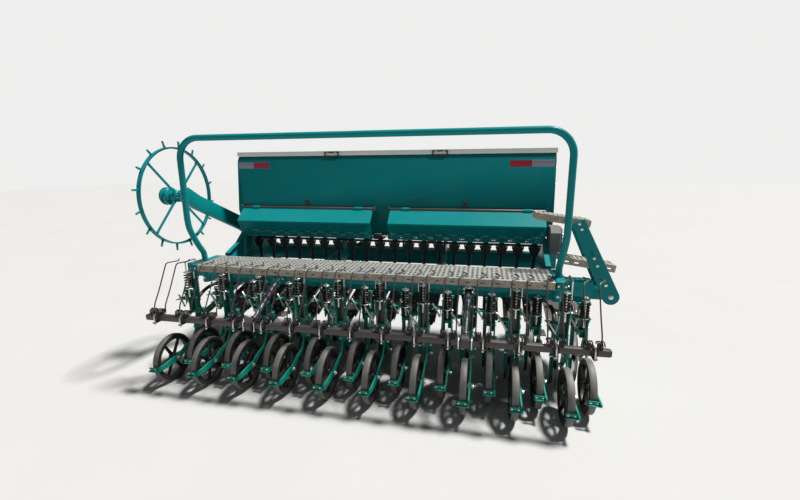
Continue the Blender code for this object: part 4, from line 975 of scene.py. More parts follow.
def end_brackets():
    """Boxes at the platform's ends with the sleeves of the guard rail."""
    pieces = []
    for side in (-1, 1):
        near, far = PLATFORM_HALF + 0.003, PLATFORM_HALF + 0.071
        x0, x1 = sorted((side * near, side * far))
        foot_x, foot_y, foot_z = side * RAIL_FOOT[0], RAIL_FOOT[1], RAIL_FOOT[2]
        top, low = PLATFORM_Z - 0.002, BEAM_Z + 0.02
        for x in (x0, x1 - 0.005):
            pieces.append(plate("X", [(PLATFORM_Y0 + 0.005, top), (PLATFORM_Y0 + 0.005, top - 0.045),
                                      (foot_y - 0.05, low), (BEAM_Y + 0.046, low), (BEAM_Y + 0.046, top)],
                                x, x + 0.005, GREEN, 0.001,
                                [ring(PLATFORM_Y0 + 0.05, top - 0.022, 0.008, 12)]))
        pieces.append(plate("Z", rect(x0, x1, PLATFORM_Y0 + 0.005, BEAM_Y + 0.046), top - 0.005, top, GREEN,
                            0.001, [ring(foot_x, foot_y, 0.026, 20)]))
        pieces.append(block((x0, PLATFORM_Y0 + 0.005, top - 0.045), (x1, PLATFORM_Y0 + 0.010, top), GREEN,
                            0.001))
        pieces.append(collar((foot_x, foot_y, (foot_z + top - 0.008) / 2), (0, 0, 1), RAIL_R + 0.007,
                             RAIL_R + 0.0004, top - 0.008 - foot_z, GREEN))
        pieces += [bolt((foot_x, foot_y - RAIL_R - 0.006, z), (0, -1, 0), 0.008) for z in (0.735, 0.785)]
        pieces += [bolt((x, PLATFORM_Y0 + 0.005, top - 0.022), (0, -1, 0), 0.006)
                   for x in (x0 + 0.014, x1 - 0.014)]
        pieces += [bolt((side * far, y, top - 0.03), (side, 0, 0), 0.009) for y in (0.13, 0.33)]
    return pieces


def gussets():
    pieces = []
    for x in (-1.12, -0.38, 0.38, 1.12):
        top = PLATFORM_Z - 0.0043
        outline = [(PLATFORM_Y0 + 0.01, top), (PLATFORM_Y0 + 0.01, top - 0.036),
                   (BEAM_Y - 0.05, BEAM_Z - 0.02), (BEAM_Y - 0.05, BEAM_Z + 0.0502),
                   (BEAM_Y - 0.002, BEAM_Z + 0.0502), (BEAM_Y - 0.002, top)]
        pieces.append(plate("X", outline, x - 0.005, x + 0.005, GREEN, 0.001,
                            [ring(PLATFORM_Y0 + 0.13, top - 0.030, 0.014, 14)]))
        pieces.append(bolt((x + 0.005, PLATFORM_Y0 + 0.03, top - 0.02), (1, 0, 0), 0.007))
    return pieces


def harrow_carriers():
    """Screw struts down to the collars in which the harrow bar turns."""
    pieces = []
    for side in (-1, 1):
        x = side * CARRIER_X
        start, end = Vector((BEAM_Y - 0.048, BEAM_Z - 0.028)), Vector((HARROW_Y, HARROW_Z))
        along = (end - start).normalized()
        length = (end - start).length

        def at(reach):
            y, z = start + along * reach
            return (x, y, z)
        turn = (0, along.x, along.y)
        pieces.append(rod(at(0.020), at(length * 0.46), 0.0205, STRUT, 24, 0.002))
        pieces.append(collar(at(length * 0.46), turn, 0.0225, 0.0150, 0.016, STRUT, 0.002))
        # the left strut's inner rod takes the dark strut paint in place of chrome: painted shade on that side
        inner = CHROME if side > 0 else STRUT
        pieces.append(rod(at(length * 0.45), at(length - 0.036), 0.0150, inner, 24))
        pieces.append(collar(at(length - 0.052), turn, 0.0205, 0.0140, 0.014, STRUT, 0.002))
        pieces.append(collar((x, HARROW_Y, HARROW_Z), (1, 0, 0), 0.0408, 0.0288, 0.045, BAR_STEEL))
        for dx in (-0.0235, 0.0185):
            pieces.append(plate("X", strip((start - along * 0.006, start + along * 0.070), 0.044, 6), x + dx,
                                x + dx + 0.005, GREEN, 0.001))
        pin = start + along * 0.048
        pieces.append(rod((x - 0.029, *pin), (x + 0.029, *pin), 0.008, ZINC, 14, 0.001))
        pieces.append(block((x - 0.034, BEAM_Y - 0.056, BEAM_Z - 0.046),
                            (x + 0.034, BEAM_Y - 0.050, BEAM_Z + 0.046), GREEN, 0.001))
        pieces += [bolt((x + dx, BEAM_Y - 0.056, BEAM_Z + dz), (0, -1, 0), 0.009)
                   for dx in (-0.026, 0.026) for dz in (-0.036, 0.036)]
    return pieces


def ladder_lug():
    x, z = LADDER_PIVOT
    y0, y1 = 0.3383, 0.4667
    return [block((BEAM_HALF - 0.012, y0, z - 0.022), (x + 0.022, y1, z + 0.045), GREEN, 0.004),
            rod((x, 0.324, z), (x, 0.481, z), 0.0098, ZINC, 18, 0.001)]


def rear_row():
    places = row_pieces("rear", 0.0, BEAM_Z - BEAM_SIZE / 2)
    beam = square_beam(BEAM_HALF, BEAM_Y, BEAM_Z, BEAM_SIZE)
    clear = [x for x in places if abs(abs(x) - CARRIER_X) > 0.07]
    clamps = [c for x in clear for c in beam_clamp(x + 0.0065, BEAM_Y, BEAM_Z, BEAM_SIZE)]
    settle("rear_beam", beam + clamps + gussets() + harrow_carriers() + ladder_lug(), "chassis",
           ["rear_coulter_row"])
    settle("platform_end_brackets", end_brackets(), "chassis", ["rear_coulter_row"])


def front_row():
    row_pieces("front", FRONT_LEAD, FRONT_BEAM_Z - FRONT_BEAM_SIZE / 2)
    beam = square_beam(FRONT_BEAM_HALF, FRONT_BEAM_Y, FRONT_BEAM_Z, FRONT_BEAM_SIZE)
    bar = square_beam(FRONT_BEAM_HALF, BAR_Y, BAR_Z, BAR_SIZE)
    settle("front_beam", beam + bar, "chassis", ["front_coulter_row"])


# ================================================================ frame and headstock
def main_frame():
    frame_piece = refined("main_frame", GREEN, 0.002)
    pieces = [frame_piece]
    for side in (-1, 1):
        edge = [(0.452, 0.860), (0.600, 0.918), (0.698, 0.992), (0.784, 0.9985)]
        x0, x1 = sorted((side * 1.206, side * 1.172))
        line = [(y - 0.0005, z + 0.0018) for y, z in edge[:3]]
        pieces.append(plate("X", strip(line, 0.004), x0, x1, GREEN, 0.0008))
        for y, z in ((0.52, 0.83), (0.80, 0.86), (1.10, 0.86), (1.10, 1.02), (0.86, 0.93)):
            pieces.append(bolt((side * 1.206, y, z), (side, 0, 0), 0.011))
        for y in (0.50, 0.56, 1.205):
            pieces.append(bolt((side * 1.21, y, 0.75), (side, 0, 0), 0.012))
        pieces.append(bolt((side * 1.25, 1.31 + 0.071, 0.70), (0, 1, 0), 0.011))
    x, y, z = pivot("land_wheel_arm")
    pieces.append(bolt((x - 0.072, y, z), (-1, 0, 0), 0.020))
    settle("frame_weldment", pieces, "chassis", ["main_frame"])


def headstock():
    pieces = [refined("headstock", GREEN, 0.0025)]
    for side in (-1, 1):
        for out in (-1, 1):
            x = side * 0.4125 + out * 0.0635
            pieces.append(collar((x - out * 0.006, 1.47, 0.52), (1, 0, 0), 0.026, 0.0148, 0.008, ZINC))
        pieces += [bolt((side * dx, 1.3103 + 0.014, z), (0, 1, 0), 0.011)
                   for dx in (0.12, 0.26) for z in (0.685, 0.755)]
    settle("headstock_weldment", pieces, "chassis", ["headstock"])


# ================================================================ hopper
def rear_wall(z):
    """The Y of the hopper's rear face at a height."""
    (y1, z1), (y0, z0) = (0.785, 1.560), (0.745, 1.170)
    return y0 + (y1 - y0) * (z - z0) / (z1 - z0)


def reflectors():
    """Grey and red tapes laid on the hopper's rear face, near its ends."""
    start, end = ((rear_wall(z), z) for z in (1.504, 1.552))
    length = (Vector(end) - Vector(start)).length
    return [placed(plate("Z", rect(x0, x1, 0, length), 0.0002, 0.0010, material, 0.0003), leaning(start, end))
            for x0, x1, material in ((-1.236, -1.100, GREY_TAPE), (-1.0995, -0.960, RED_TAPE),
                                     (0.930, 1.080, RED_TAPE), (1.0805, 1.234, GREY_TAPE))]


def agitator():
    """The stirring shaft inside the hopper, with its fingers."""
    y, z = 0.875, 1.045
    pieces = [rod((-1.236, y, z), (1.236, y, z), 0.009, ZINC, 12)]
    for i in range(20):
        x = -1.14 + i * 0.12
        a = 0.9 * i
        dy, dz = 0.036 * cos(a), 0.036 * sin(a)
        pieces.append(rod((x, y - dy, z - dz), (x, y + dy, z + dz), 0.004, ZINC, 8))
    return pieces


def guard_latch(x):
    """A spring catch on the hopper's rear face, over the middle of a guard's hinge pipe."""
    z = GUARD_PIPE[1] + 0.020
    y = rear_wall(z)
    return [block((x - 0.022, y - 0.013, z), (x + 0.022, y - 0.0005, z + 0.018), BLACK, 0.003),
            rod((x, y - 0.008, z + 0.014), (x, y - 0.008, z + 0.034), 0.006, BLACK, 14, 0.002),
            rod((x, y - 0.009, z + 0.030), (x, y - 0.009, z + 0.044), 0.0125, BLACK, 18, 0.003)]


def hopper():
    # the shell and its end plates take the darker teal: painted shade
    pieces = [refined("hopper", HOPPER_SHADED_GREEN, 0.0012)] + agitator()
    for node in ("left_meter_guard", "right_meter_guard"):
        pieces += guard_latch(pivot(node).x)
    half = HOPPER_HALF
    for side in (-1, 1):
        for y, z in ((0.80, 1.50), (0.79, 1.38), (0.78, 1.26), (0.80, 1.14), (0.86, 1.045), (1.02, 1.09),
                     (1.16, 1.17), (1.30, 1.26), (1.395, 1.36), (1.395, 1.50)):
            pieces.append(bolt((side * half, y, z), (side, 0, 0), 0.006))
        x0, x1 = sorted((side * (half + 0.0002), side * (half + 0.004)))
        pieces.append(plate("X", [(0.835, 1.555), (0.800, 1.17), (0.84, 1.06), (0.90, 1.06), (1.37, 1.33),
                                  (1.37, 1.555)], x0, x1, HOPPER_SHADED_GREEN, 0.0012))
    gasket = block((-half + 0.006, 0.8045, 1.5960), (half - 0.006, 0.8085, 1.6001), BLACK, 0.001)
    pieces.append(gasket)
    settle("hopper_shell", pieces, "chassis", ["hopper"])
    settle("reflector_tapes", reflectors(), "chassis")


def hopper_lid():
    """The lid with pressed ribs and two pull handles along its rear edge."""
    y0 = layout_box("hopper_lid")[0].y
    y1 = y0 - 0.014
    top = HOPPER_RIM_Z + 0.034
    pieces = [refined("hopper_lid", WHITE, 0.003, 3)]
    for x in (-0.84, -0.42, 0.0, 0.42, 0.84):
        rib = slot_hole(x, 1.12, 0.42, 0.30, pi / 2, 6)
        pieces.append(plate("Z", rib, top - 0.001, top + 0.0035, WHITE, 0.0018))
    for x in (-0.425, 0.425):
        pieces.append(block((x - 0.060, y1, top - 0.016), (x + 0.060, y0 - 0.001, top - 0.006), BLACK, 0.002))
        half = [(0.054, y0 - 0.004, top - 0.012), (0.054, y0 - 0.012, top - 0.014),
                (0.054, y1, top - 0.038), (0.050, y1, top - 0.043)]
        bar = [(x - dx, y, z) for dx, y, z in half] + [(x + dx, y, z) for dx, y, z in reversed(half)]
        pieces.append(wire(bar, 0.0052, BLACK, 10))
        pieces += [bolt((x + dx, y1, top - 0.011), (0, -1, 0), 0.004) for dx in (-0.030, 0.030)]
    settle("lid_panel", pieces, "hopper_lid", ["hopper_lid"])


def metering_guard(side):
    """A folded guard: a plain sloping top, a punched rear face and its hinge pipe."""
    node = f"{side}_meter_guard"
    low, high = layout_box(node)
    x0, x1 = low.x + 0.016, high.x - 0.016
    width = x1 - x0
    slope = (Vector(GUARD_LIP) - Vector(GUARD_PIPE)).length
    drop = (Vector(GUARD_FOOT) - Vector(GUARD_LIP)).length
    top = placed(plate("Z", rect(x0, x1, 0.004, slope), -0.0015, 0.0015, GREEN, 0.0008),
                 leaning(GUARD_PIPE, GUARD_LIP))
    margin = 0.014
    sheet = perforated(width - 2 * margin, drop - 2 * margin, (0.0170, 0.0170), 0.0062, 0.0024, GREEN)
    placed(sheet, Vector((x0 + margin, margin, 0)))
    rim = plate("Z", rect(x0, x1, 0, drop), -0.0015, 0.0015, GREEN, 0.0006,
                [rect(x0 + margin, x1 - margin, margin, drop - margin)])
    face = placed(joined([sheet, rim]), leaning(GUARD_LIP, GUARD_FOOT))
    fold = rod((x0, *GUARD_LIP), (x1, *GUARD_LIP), 0.0024, GREEN, 10)
    pipe = rod((x0 - 0.016, *GUARD_PIPE), (x1 + 0.016, *GUARD_PIPE), 0.0108, BAR_STEEL, 16, 0.001)
    y, z = GUARD_PIPE
    hinges = [collar((x, y, z), (1, 0, 0), 0.0145, 0.0100, 0.06, GREEN) for x in (x0 + 0.12, x1 - 0.12)]
    settle(f"{side}_guard_sheet", [top, face, fold, pipe] + hinges, node, [node])


# ================================================================ meters and hoses
def model_meter():
    """One seed meter about its own outlet: housing, feed wheel cover, shutter and spout."""
    y0, y1 = METER_Y - 0.058, METER_Y + 0.058
    funnel = plate("Y", [(-0.046, 0.924), (0.046, 0.924), (0.044, 0.896), (0.021, 0.842), (-0.021, 0.842),
                         (-0.044, 0.896)], METER_Y - 0.024, METER_Y - 0.018, BLACK, 0.0015)
    return joined([
        funnel, block((-0.046, y0, METER_Z0), (0.046, y1, METER_Z1), BLACK, 0.006),
        block((-0.004, METER_Y - 0.029, 0.846), (0.004, METER_Y - 0.022, 0.920), BLACK, 0.002),
        bolt((-0.034, METER_Y - 0.024, 0.910), (0, -1, 0), 0.0045),
        bolt((0.034, METER_Y - 0.024, 0.910), (0, -1, 0), 0.0045),
        placed(turned([(-0.040, 0.0), (-0.040, 0.026), (-0.036, 0.030), (0.036, 0.030), (0.040, 0.026),
                       (0.040, 0.0)], BLACK, 24), Vector((0, y0 + 0.004, 0.972))),
        block((-0.030, y0 - 0.020, 0.984), (0.030, y0 + 0.004, 0.996), ZINC, 0.002),
        rod((0, METER_Y, 0.950), (0, METER_Y, 0.9252), 0.022, BLACK, 20, 0.002, tip=0.018),
        bolt((-0.036, y0, 0.958), (0, -1, 0), 0.0045), bolt((0.036, y0, 0.958), (0, -1, 0), 0.0045)])


def meters():
    pieces = spaced(model_meter(), [row_x(name) * METER_SHARE for name, _ in ROWS])
    pieces.append(block((-1.165, METER_Y - 0.060, 0.978), (1.165, METER_Y + 0.060, 0.9992), BLACK, 0.002))
    pieces.append(rod((-1.184, 0.788, 0.975), (1.192, 0.788, 0.975), 0.0125, ZINC, 6, 0.001))
    settle("seed_meters", pieces, "chassis", ["meter_housing"])


def hose_route(x, lead):
    """A seed hose from its meter's spout down to the boot of its row."""
    top = x * METER_SHARE
    foot = x + BOOT_X

    def across(share):
        return top + (foot - top) * share
    return [(top, METER_Y, CLIP_Z), (top, METER_Y, CLIP_Z - 0.10), (top, METER_Y - 0.03, 0.695),
            (across(0.35), METER_Y - 0.08, 0.633), (across(0.75), 0.665 + lead * 0.4, 0.582),
            (foot, 0.53 + lead * 0.8, 0.545), (foot, BOOT_Y + lead, 0.490), (foot, BOOT_Y + lead, BOOT_TOP)]


def even_steps(points, step):
    """Points a fixed distance apart along a run."""
    out, carry = [points[0]], 0.0
    for one, two in zip(points, points[1:]):
        length = (two - one).length
        place = step - carry
        while place <= length:
            out.append(one + (two - one) * (place / length))
            place += step
        carry = length - (place - step)
    return out + [points[-1]]


def hoses():
    pieces = []
    for name, lead in ROWS:
        x = row_x(name)
        route = even_steps(smooth(hose_route(x, lead), 12), 0.0035)
        pieces.append(wire(route, 0.0145, HOSE, 10, swell=lambda i: (0.86, 1.0, 1.0, 0.86)[i % 4]))
        pieces.append(collar((x * METER_SHARE, METER_Y, 0.902), (0, 0, 1), 0.0165, 0.0120, 0.010, ZINC,
                             0.001, 20))
    pieces.append(block((-1.165, METER_Y - 0.022, CLIP_Z - 0.012), (1.165, METER_Y + 0.022, CLIP_Z), BLACK,
                        0.002))
    settle("seed_tubes", pieces, "chassis", ["seed_hoses"])


def gearbox():
    """The stepless gearbox: ribbed casting, round cover, dial and chromed lever."""
    x0, x1 = 1.2063, 1.2963
    y0, y1, z0, z1 = 0.60, 0.75, 0.90, 1.10
    case = plate("X", [(y0, z0 + 0.02), (y0 + 0.02, z0), (y1 - 0.02, z0), (y1, z0 + 0.02), (y1, z1 - 0.04),
                       (y1 - 0.03, z1), (y0 + 0.03, z1), (y0, z1 - 0.04)], x0, x1 - 0.014, CASTING, 0.006)
    lid = plate("X", [(y0 + 0.006, z0 + 0.022), (y0 + 0.022, z0 + 0.006), (y1 - 0.022, z0 + 0.006),
                      (y1 - 0.006, z0 + 0.022), (y1 - 0.006, z1 - 0.043), (y1 - 0.032, z1 - 0.006),
                      (y0 + 0.032, z1 - 0.006), (y0 + 0.006, z1 - 0.043)], x1 - 0.014, x1 - 0.006, CASTING,
                0.002)
    cover = placed(turned([(0, 0.0), (0, 0.046), (0.004, 0.044), (0.006, 0.038), (0.006, 0.0)], CASTING, 36),
                   Vector((x1 - 0.007, 0.675, 0.965)))
    ribs = [block((x0 + 0.008, y0 - 0.0005, z), (x1 - 0.020, y0 + 0.01, z + 0.005), CASTING, 0.001)
            for z in (0.93, 0.95, 0.97, 0.99, 1.01)]
    bolts = [bolt((x1 - 0.006, 0.675 + dy, 1.0 + dz), (1, 0, 0), 0.007)
             for dy, dz in ((-0.058, -0.075), (0.058, -0.075), (-0.058, 0.05), (0.058, 0.05), (0, 0.085))]
    lever = wire(smooth([(x1 - 0.010, y0 + 0.05, z0 + 0.11), (x1 + 0.024, y0 + 0.034, z0 + 0.13),
                         (x1 + 0.034, y0 + 0.010, z0 + 0.18), (x1 + 0.040, y0 - 0.02, z0 + 0.25)], 5),
                 0.007, CHROME, 12)
    knob = turned([(-0.016, 0.0), (-0.016, 0.010), (-0.010, 0.016), (0.008, 0.016), (0.016, 0.010),
                   (0.016, 0.0)], BLACK, 24, (0, 1, 0))
    placed(knob, Vector((x1 + 0.040, y0 - 0.020, z0 + 0.25)))
    dial = plate("X", ring(0.675, 1.055, 0.030, 24), x1 - 0.006, x1 - 0.003, WHITE, 0.0006)
    settle("stepless_gearbox", [case, lid, cover, lever, knob, dial] + ribs + bolts, "chassis",
           ["drive_gearbox"])


# ================================================================ platform, rail and ladder
def punched(half, y0, y1, top, margin, pitch, hole, thick, rim_thick, edge):
    """A punched sheet inside a plain rim, its top face at a height."""
    sheet = perforated(2 * (half - margin), y1 - y0 - 2 * margin, pitch, hole, thick, GALVANISED)
    placed(sheet, Vector((-half + margin, y0 + margin, top - thick / 2)))
    inner = rect(-half + margin, half - margin, y0 + margin, y1 - margin)
    return [sheet, plate("Z", rect(-half, half, y0, y1), top - rim_thick, top, GALVANISED, edge, [inner])]


def platform():
    """A punched tread plate with slotted, turned-down edges."""
    half, y0, y1, low, top = PLATFORM_HALF, PLATFORM_Y0, PLATFORM_Y1, 0.8105, PLATFORM_Z
    tread = punched(half, y0, y1, top, 0.014, (0.030, 0.039), 0.0145, 0.0035, 0.004, 0.0012)
    slots = [slot_hole(-half + 0.055 + 0.09 * i, 0.832, 0.026, 0.008) for i in range(26)]
    lips = [plate("Y", rect(-half, half, low, top - 0.001), y, y + 0.004, WORN_LIP, 0.001, slots)
            for y in (y0, y1 - 0.004)]
    ends = [plate("X", rect(y0, y1, low, top - 0.001), x, x + 0.004, WORN_LIP, 0.001,
                  [slot_hole(y, 0.832, 0.05, 0.010) for y in (0.16, 0.24, 0.32)])
            for x in (-half, half - 0.004)]
    fold = rod((-half, y0 + 0.0022, top - 0.0024), (half, y0 + 0.0022, top - 0.0024), 0.0024, GALVANISED, 10)
    studs = [bolt((x, y, top), (0, 0, 1), 0.005) for x in (-1.12, -0.38, 0.38, 1.12) for y in (0.105, 0.375)]
    settle("tread_plate", tread + [fold] + lips + ends + studs, "chassis", ["platform"])


def guard_rail():
    foot_x, foot_y, foot_z = RAIL_FOOT
    post_x, post_y = RAIL_POST
    corner_x, corner_z = post_x - RAIL_BEND, RAIL_TOP - RAIL_BEND
    half = [Vector((foot_x, foot_y, foot_z)), Vector((foot_x, foot_y, PLATFORM_Z + 0.01))]
    half += smooth([(foot_x, foot_y - 0.002, PLATFORM_Z + 0.03), (foot_x, foot_y - 0.010, PLATFORM_Z + 0.065),
                    (foot_x + 0.003, foot_y - 0.055, 0.99), (post_x - 0.001, post_y + 0.012, 1.10),
                    (post_x, post_y, 1.18)], 5)
    half += [Vector((corner_x + RAIL_BEND * cos(a), post_y, corner_z + RAIL_BEND * sin(a)))
             for a in (pi / 2 * i / 14 for i in range(15))]
    other = [Vector((-p.x, p.y, p.z)) for p in reversed(half)]
    settle("rail_tube", [wire(half + other, RAIL_R, GREEN, 20)], "chassis", ["guard_rail"])


def ladder():
    """Two stringers with a round heel, two punched treads and a latch bolt."""
    foot, head = Vector(LADDER_PIVOT), Vector(LADDER_HEAD)
    along = (head - foot).normalized()
    across = Vector((-along.y, along.x))
    half = 0.05
    heel = [foot + across * half * cos(a) - along * half * sin(a) for a in (pi * i / 14 for i in range(15))]
    outline = heel + [head - across * half * 0.75, head + across * half * 0.75]
    hole = ring(foot.x, foot.y, 0.0102, 16)
    latch = foot + along * 0.085
    more = [ring(*latch, 0.012, 14), slot_hole(*(foot + along * 0.30), 0.05, 0.014, atan2(along.y, along.x))]
    pieces = [plate("Y", outline, y, y + 0.008, GREEN, 0.0014, [hole] + more) for y in (0.33, 0.467)]
    for x, z in ((1.235, 1.187), (1.400, 0.912)):
        pieces += ladder_tread(x, z)
    pieces += [rod((latch.x, 0.322, latch.y), (latch.x, 0.482, latch.y), 0.009, ZINC, 16, 0.001),
               bolt((foot.x, 0.330, foot.y), (0, -1, 0), 0.013),
               bolt((foot.x, 0.475, foot.y), (0, 1, 0), 0.013)]
    for share in (0.42, 0.52, 0.90, 0.97):
        x, z = foot + (head - foot) * share
        pieces += [bolt((x, 0.330, z), (0, -1, 0), 0.008), bolt((x, 0.475, z), (0, 1, 0), 0.008)]
    settle("ladder_frame", pieces, "boarding_ladder", ["boarding_ladder"])


def ladder_tread(x, z):
    """A folded, punched tread between the stringers, leaning with the ladder."""
    end, y0, y1, high = 0.165, 0.3385, 0.4665, 0.0225
    tread = punched(end, y0, y1, high, 0.012, (0.028, 0.034), 0.012, 0.003, 0.0034, 0.001)
    slots = [slot_hole(dx, -0.002, 0.028, 0.010) for dx in (-0.125, -0.065, 0.065, 0.125)]
    lips = [plate("Y", rect(-end, end, -high, high), y, y + 0.004, WORN_LIP, 0.001, slots)
            for y in (y0, y1 - 0.004)]
    turn = Matrix.Translation((x, 0, z)) @ Matrix.Rotation(radians(8), 4, "Y")
    return [placed(joined(tread + lips), turn)]


# ================================================================ harrow
def model_tine():
    """A double tine about its middle: two coils, the wire between them and two bent legs."""
    axis_z = HARROW_Z + 0.040
    pieces = []
    elbow = Vector((0, PLATFORM_Y0 - 0.022, PLATFORM_Z + 0.010))
    for side in (-1, 1):
        start, end = Vector((side * 0.012, HARROW_Y, axis_z)), Vector((side * 0.048, HARROW_Y, axis_z))
        pieces.append(coil(start, end, 0.0205, 0.0036, 3.5, DARK_SPRING, 8, 14))
        x = side * 0.042
        leg = smooth([(x + side * 0.004, HARROW_Y + 0.004, axis_z - 0.020),
                      (x, HARROW_Y + 0.020, axis_z - 0.004),
                      (x, HARROW_Y + 0.026, axis_z + 0.040), (x, HARROW_Y + 0.080, axis_z + 0.130),
                      (x, elbow.y - 0.012, elbow.z - 0.030)], 4)
        leg += [Vector((x + dx, elbow.y + dy, elbow.z + dz))
                for dx, dy, dz in ((0.002, 0.0, -0.006), (0.007, 0.010, 0.001), (0.044, 0.062, 0.004),
                                   (0.046, 0.067, 0.004), (0.044, 0.072, 0.004), (0.020, 0.108, 0.006))]
        pieces.append(wire(leg, 0.0042, LEG_STEEL, 8))
    bridge = smooth([(-0.015, HARROW_Y - 0.016, axis_z + 0.010), (-0.015, HARROW_Y - 0.026, axis_z - 0.006),
                     (-0.012, HARROW_Y - 0.0265, HARROW_Z - 0.010),
                     (0.0, HARROW_Y - 0.0265, HARROW_Z - 0.014),
                     (0.012, HARROW_Y - 0.0265, HARROW_Z - 0.010), (0.015, HARROW_Y - 0.026, axis_z - 0.006),
                     (0.015, HARROW_Y - 0.016, axis_z + 0.010)], 4)
    pieces.append(wire(bridge, 0.0042, DARK_SPRING, 8))
    r, out = 0.0045, 0.0275
    clamp = [(0, HARROW_Y + out, HARROW_Z - 0.040), (0, HARROW_Y + out, HARROW_Z + 0.016),
             (0, HARROW_Y + out - 0.010, HARROW_Z + out), (0, HARROW_Y - out - 0.004, HARROW_Z + out),
             (0, HARROW_Y - out - 0.010, HARROW_Z + 0.016), (0, HARROW_Y - out - 0.010, HARROW_Z - 0.040)]
    pieces += [wire(clamp, r, ZINC, 8),
               block((-0.012, HARROW_Y - out - 0.018, HARROW_Z - 0.029),
                     (0.012, HARROW_Y + out + 0.008, HARROW_Z - 0.023), BAR_STEEL, 0.001),
               bolt((0, HARROW_Y + out, HARROW_Z - 0.029), (0, 0, -1), 0.0075),
               bolt((0, HARROW_Y - out - 0.010, HARROW_Z - 0.029), (0, 0, -1), 0.0075)]
    return joined(pieces)


def bar_tie(x):
    """A bent rod round the harrow bar that keeps it from sliding in its collars."""
    out = 0.0245
    path = [(x, HARROW_Y + out, HARROW_Z - 0.036), (x, HARROW_Y + out, HARROW_Z + 0.016),
            (x, HARROW_Y + out - 0.010, HARROW_Z + out), (x, HARROW_Y - out + 0.010, HARROW_Z + out),
            (x, HARROW_Y - out, HARROW_Z + 0.016), (x, HARROW_Y - out, HARROW_Z - 0.036)]
    return [wire(path, 0.0042, ZINC, 8), bolt((x, HARROW_Y + out, HARROW_Z - 0.026), (0, 0, -1), 0.0065),
            bolt((x, HARROW_Y - out, HARROW_Z - 0.026), (0, 0, -1), 0.0065)]


def harrow():
    unit = model_tine()
    tines = [copied(unit, Vector((-1.365 + 0.195 * i, 0, 0))) for i in range(15)]
    scrap(unit)
    settle("harrow_tines", tines, "harrow", ["harrow"])
    bar = square_beam(HARROW_HALF, HARROW_Y, HARROW_Z, 0.040, BAR_STEEL)
    caps = [block((s * (HARROW_HALF - 0.02), HARROW_Y - 0.0165, HARROW_Z - 0.0165),
                  (s * (HARROW_HALF + 0.003), HARROW_Y + 0.0165, HARROW_Z + 0.0165), BLACK, 0.003)
            for s in (-1, 1)]
    ties = [t for x in (-CARRIER_X, CARRIER_X) for side in (-1, 1)
            for t in bar_tie(x + side * 0.0375)]
    settle("harrow_bar", bar + caps + ties, "harrow", ["harrow"])


# ================================================================ land wheel
def land_arm():
    x, y, z = pivot("land_wheel_arm")
    hub = pivot("land_wheel")
    pieces = [refined("land_wheel_arm", GREEN, 0.005, 3)]
    pieces.append(collar((x - 0.056, y, z), (1, 0, 0), 0.045, 0.026, 0.006, ZINC))
    for a in (pi / 4 + pi / 2 * k for k in range(4)):
        seat = (hub.x + 0.062, hub.y + 0.030 * cos(a), hub.z + 0.030 * sin(a))
        pieces.append(bolt(seat, (-1, 0, 0), 0.006))
    settle("land_wheel_beam", pieces, "land_wheel_arm", ["land_wheel_arm"])


def land_wheel():
    """A thin spiked rim on four flat spokes, its hub bolted to a two-step housing."""
    r = LAND_RIM
    rim = turned([(-0.015, r), (0.015, r), (0.015, r - 0.003), (0.012, r - 0.0045), (0.012, r - 0.012),
                  (-0.012, r - 0.012), (-0.012, r - 0.0045), (-0.015, r - 0.003), (-0.015, r)], GREEN, 96)
    hub = turned([(-0.046, 0.017), (-0.046, 0.045), (0.014, 0.045), (0.020, 0.040), (0.020, 0.017),
                  (-0.046, 0.017)], GREEN, 40)
    cap = turned([(-0.126, 0.0), (-0.126, 0.046), (-0.122, 0.058), (-0.112, 0.067), (-0.099, 0.069),
                  (-0.094, 0.066), (-0.091, 0.058), (-0.085, 0.058), (-0.081, 0.066), (-0.075, 0.069),
                  (-0.057, 0.069), (-0.049, 0.062), (-0.046, 0.055), (-0.046, 0.0)], GREEN, 48)
    spike = plate("X", [(r - 0.011, -0.013), (r - 0.011, 0.013), (r + 0.012, 0.011), (r + 0.049, 0.016),
                        (r + 0.050, 0.004), (r + 0.014, -0.004)], -0.005, 0.005, GREEN, 0.0012)
    spoke = joined([plate("X", [(0.030, -0.010), (0.030, 0.010), (r - 0.010, 0.009), (r - 0.010, -0.009)],
                          -0.004, 0.004, GREEN, 0.0012),
                    plate("Z", rect(-0.010, 0.010, r - 0.030, r - 0.012), -0.006, 0.006, GREEN, 0.001)])
    pieces = [rim, hub, cap]
    pieces += [copied(spike, Matrix.Rotation(2 * pi * (k + 0.5) / 16, 4, "X")) for k in range(16)]
    pieces += [copied(spoke, Matrix.Rotation(pi / 4 + pi / 2 * k, 4, "X")) for k in range(4)]
    for k in range(8):
        a = pi / 4 * (k + 0.5)
        pieces.append(bolt((0.018, 0.031 * cos(a), 0.031 * sin(a)), (1, 0, 0), 0.006))
    for k in range(3):
        a = 2 * pi * k / 3
        pieces.append(bolt((-0.126, 0.028 * cos(a), 0.028 * sin(a)), (-1, 0, 0), 0.005))
    scrap(spike, spoke)
    piece = placed(joined(pieces), pivot("land_wheel"))
    settle("land_wheel_spiked", [piece], "land_wheel", ["land_wheel"])


# ================================================================ stands
def stand(side):
    name = "left_stand" if side < 0 else "right_stand"
    x, y, z = pivot(name)
    pieces = [refined(name, BAR_STEEL, 0.003)]
    pieces.append(collar((x, y + 0.0545, z), (0, 1, 0), 0.022, 0.0125, 0.006, ZINC))
    for dz in (-0.12, -0.24):
        pieces.append(bolt((x + side * 0.012 * (-dz / 0.35), y + 0.050, z + dz), (0, 1, 0), 0.008))
    settle(f"{name}_leg", pieces, name, [name])


# ================================================================ stage
def floor():
    bpy.ops.mesh.primitive_plane_add(size=60, location=(0, 0, 0))
    thing = bpy.context.object
    thing.name = "floor"
    paint(thing, FLOOR)


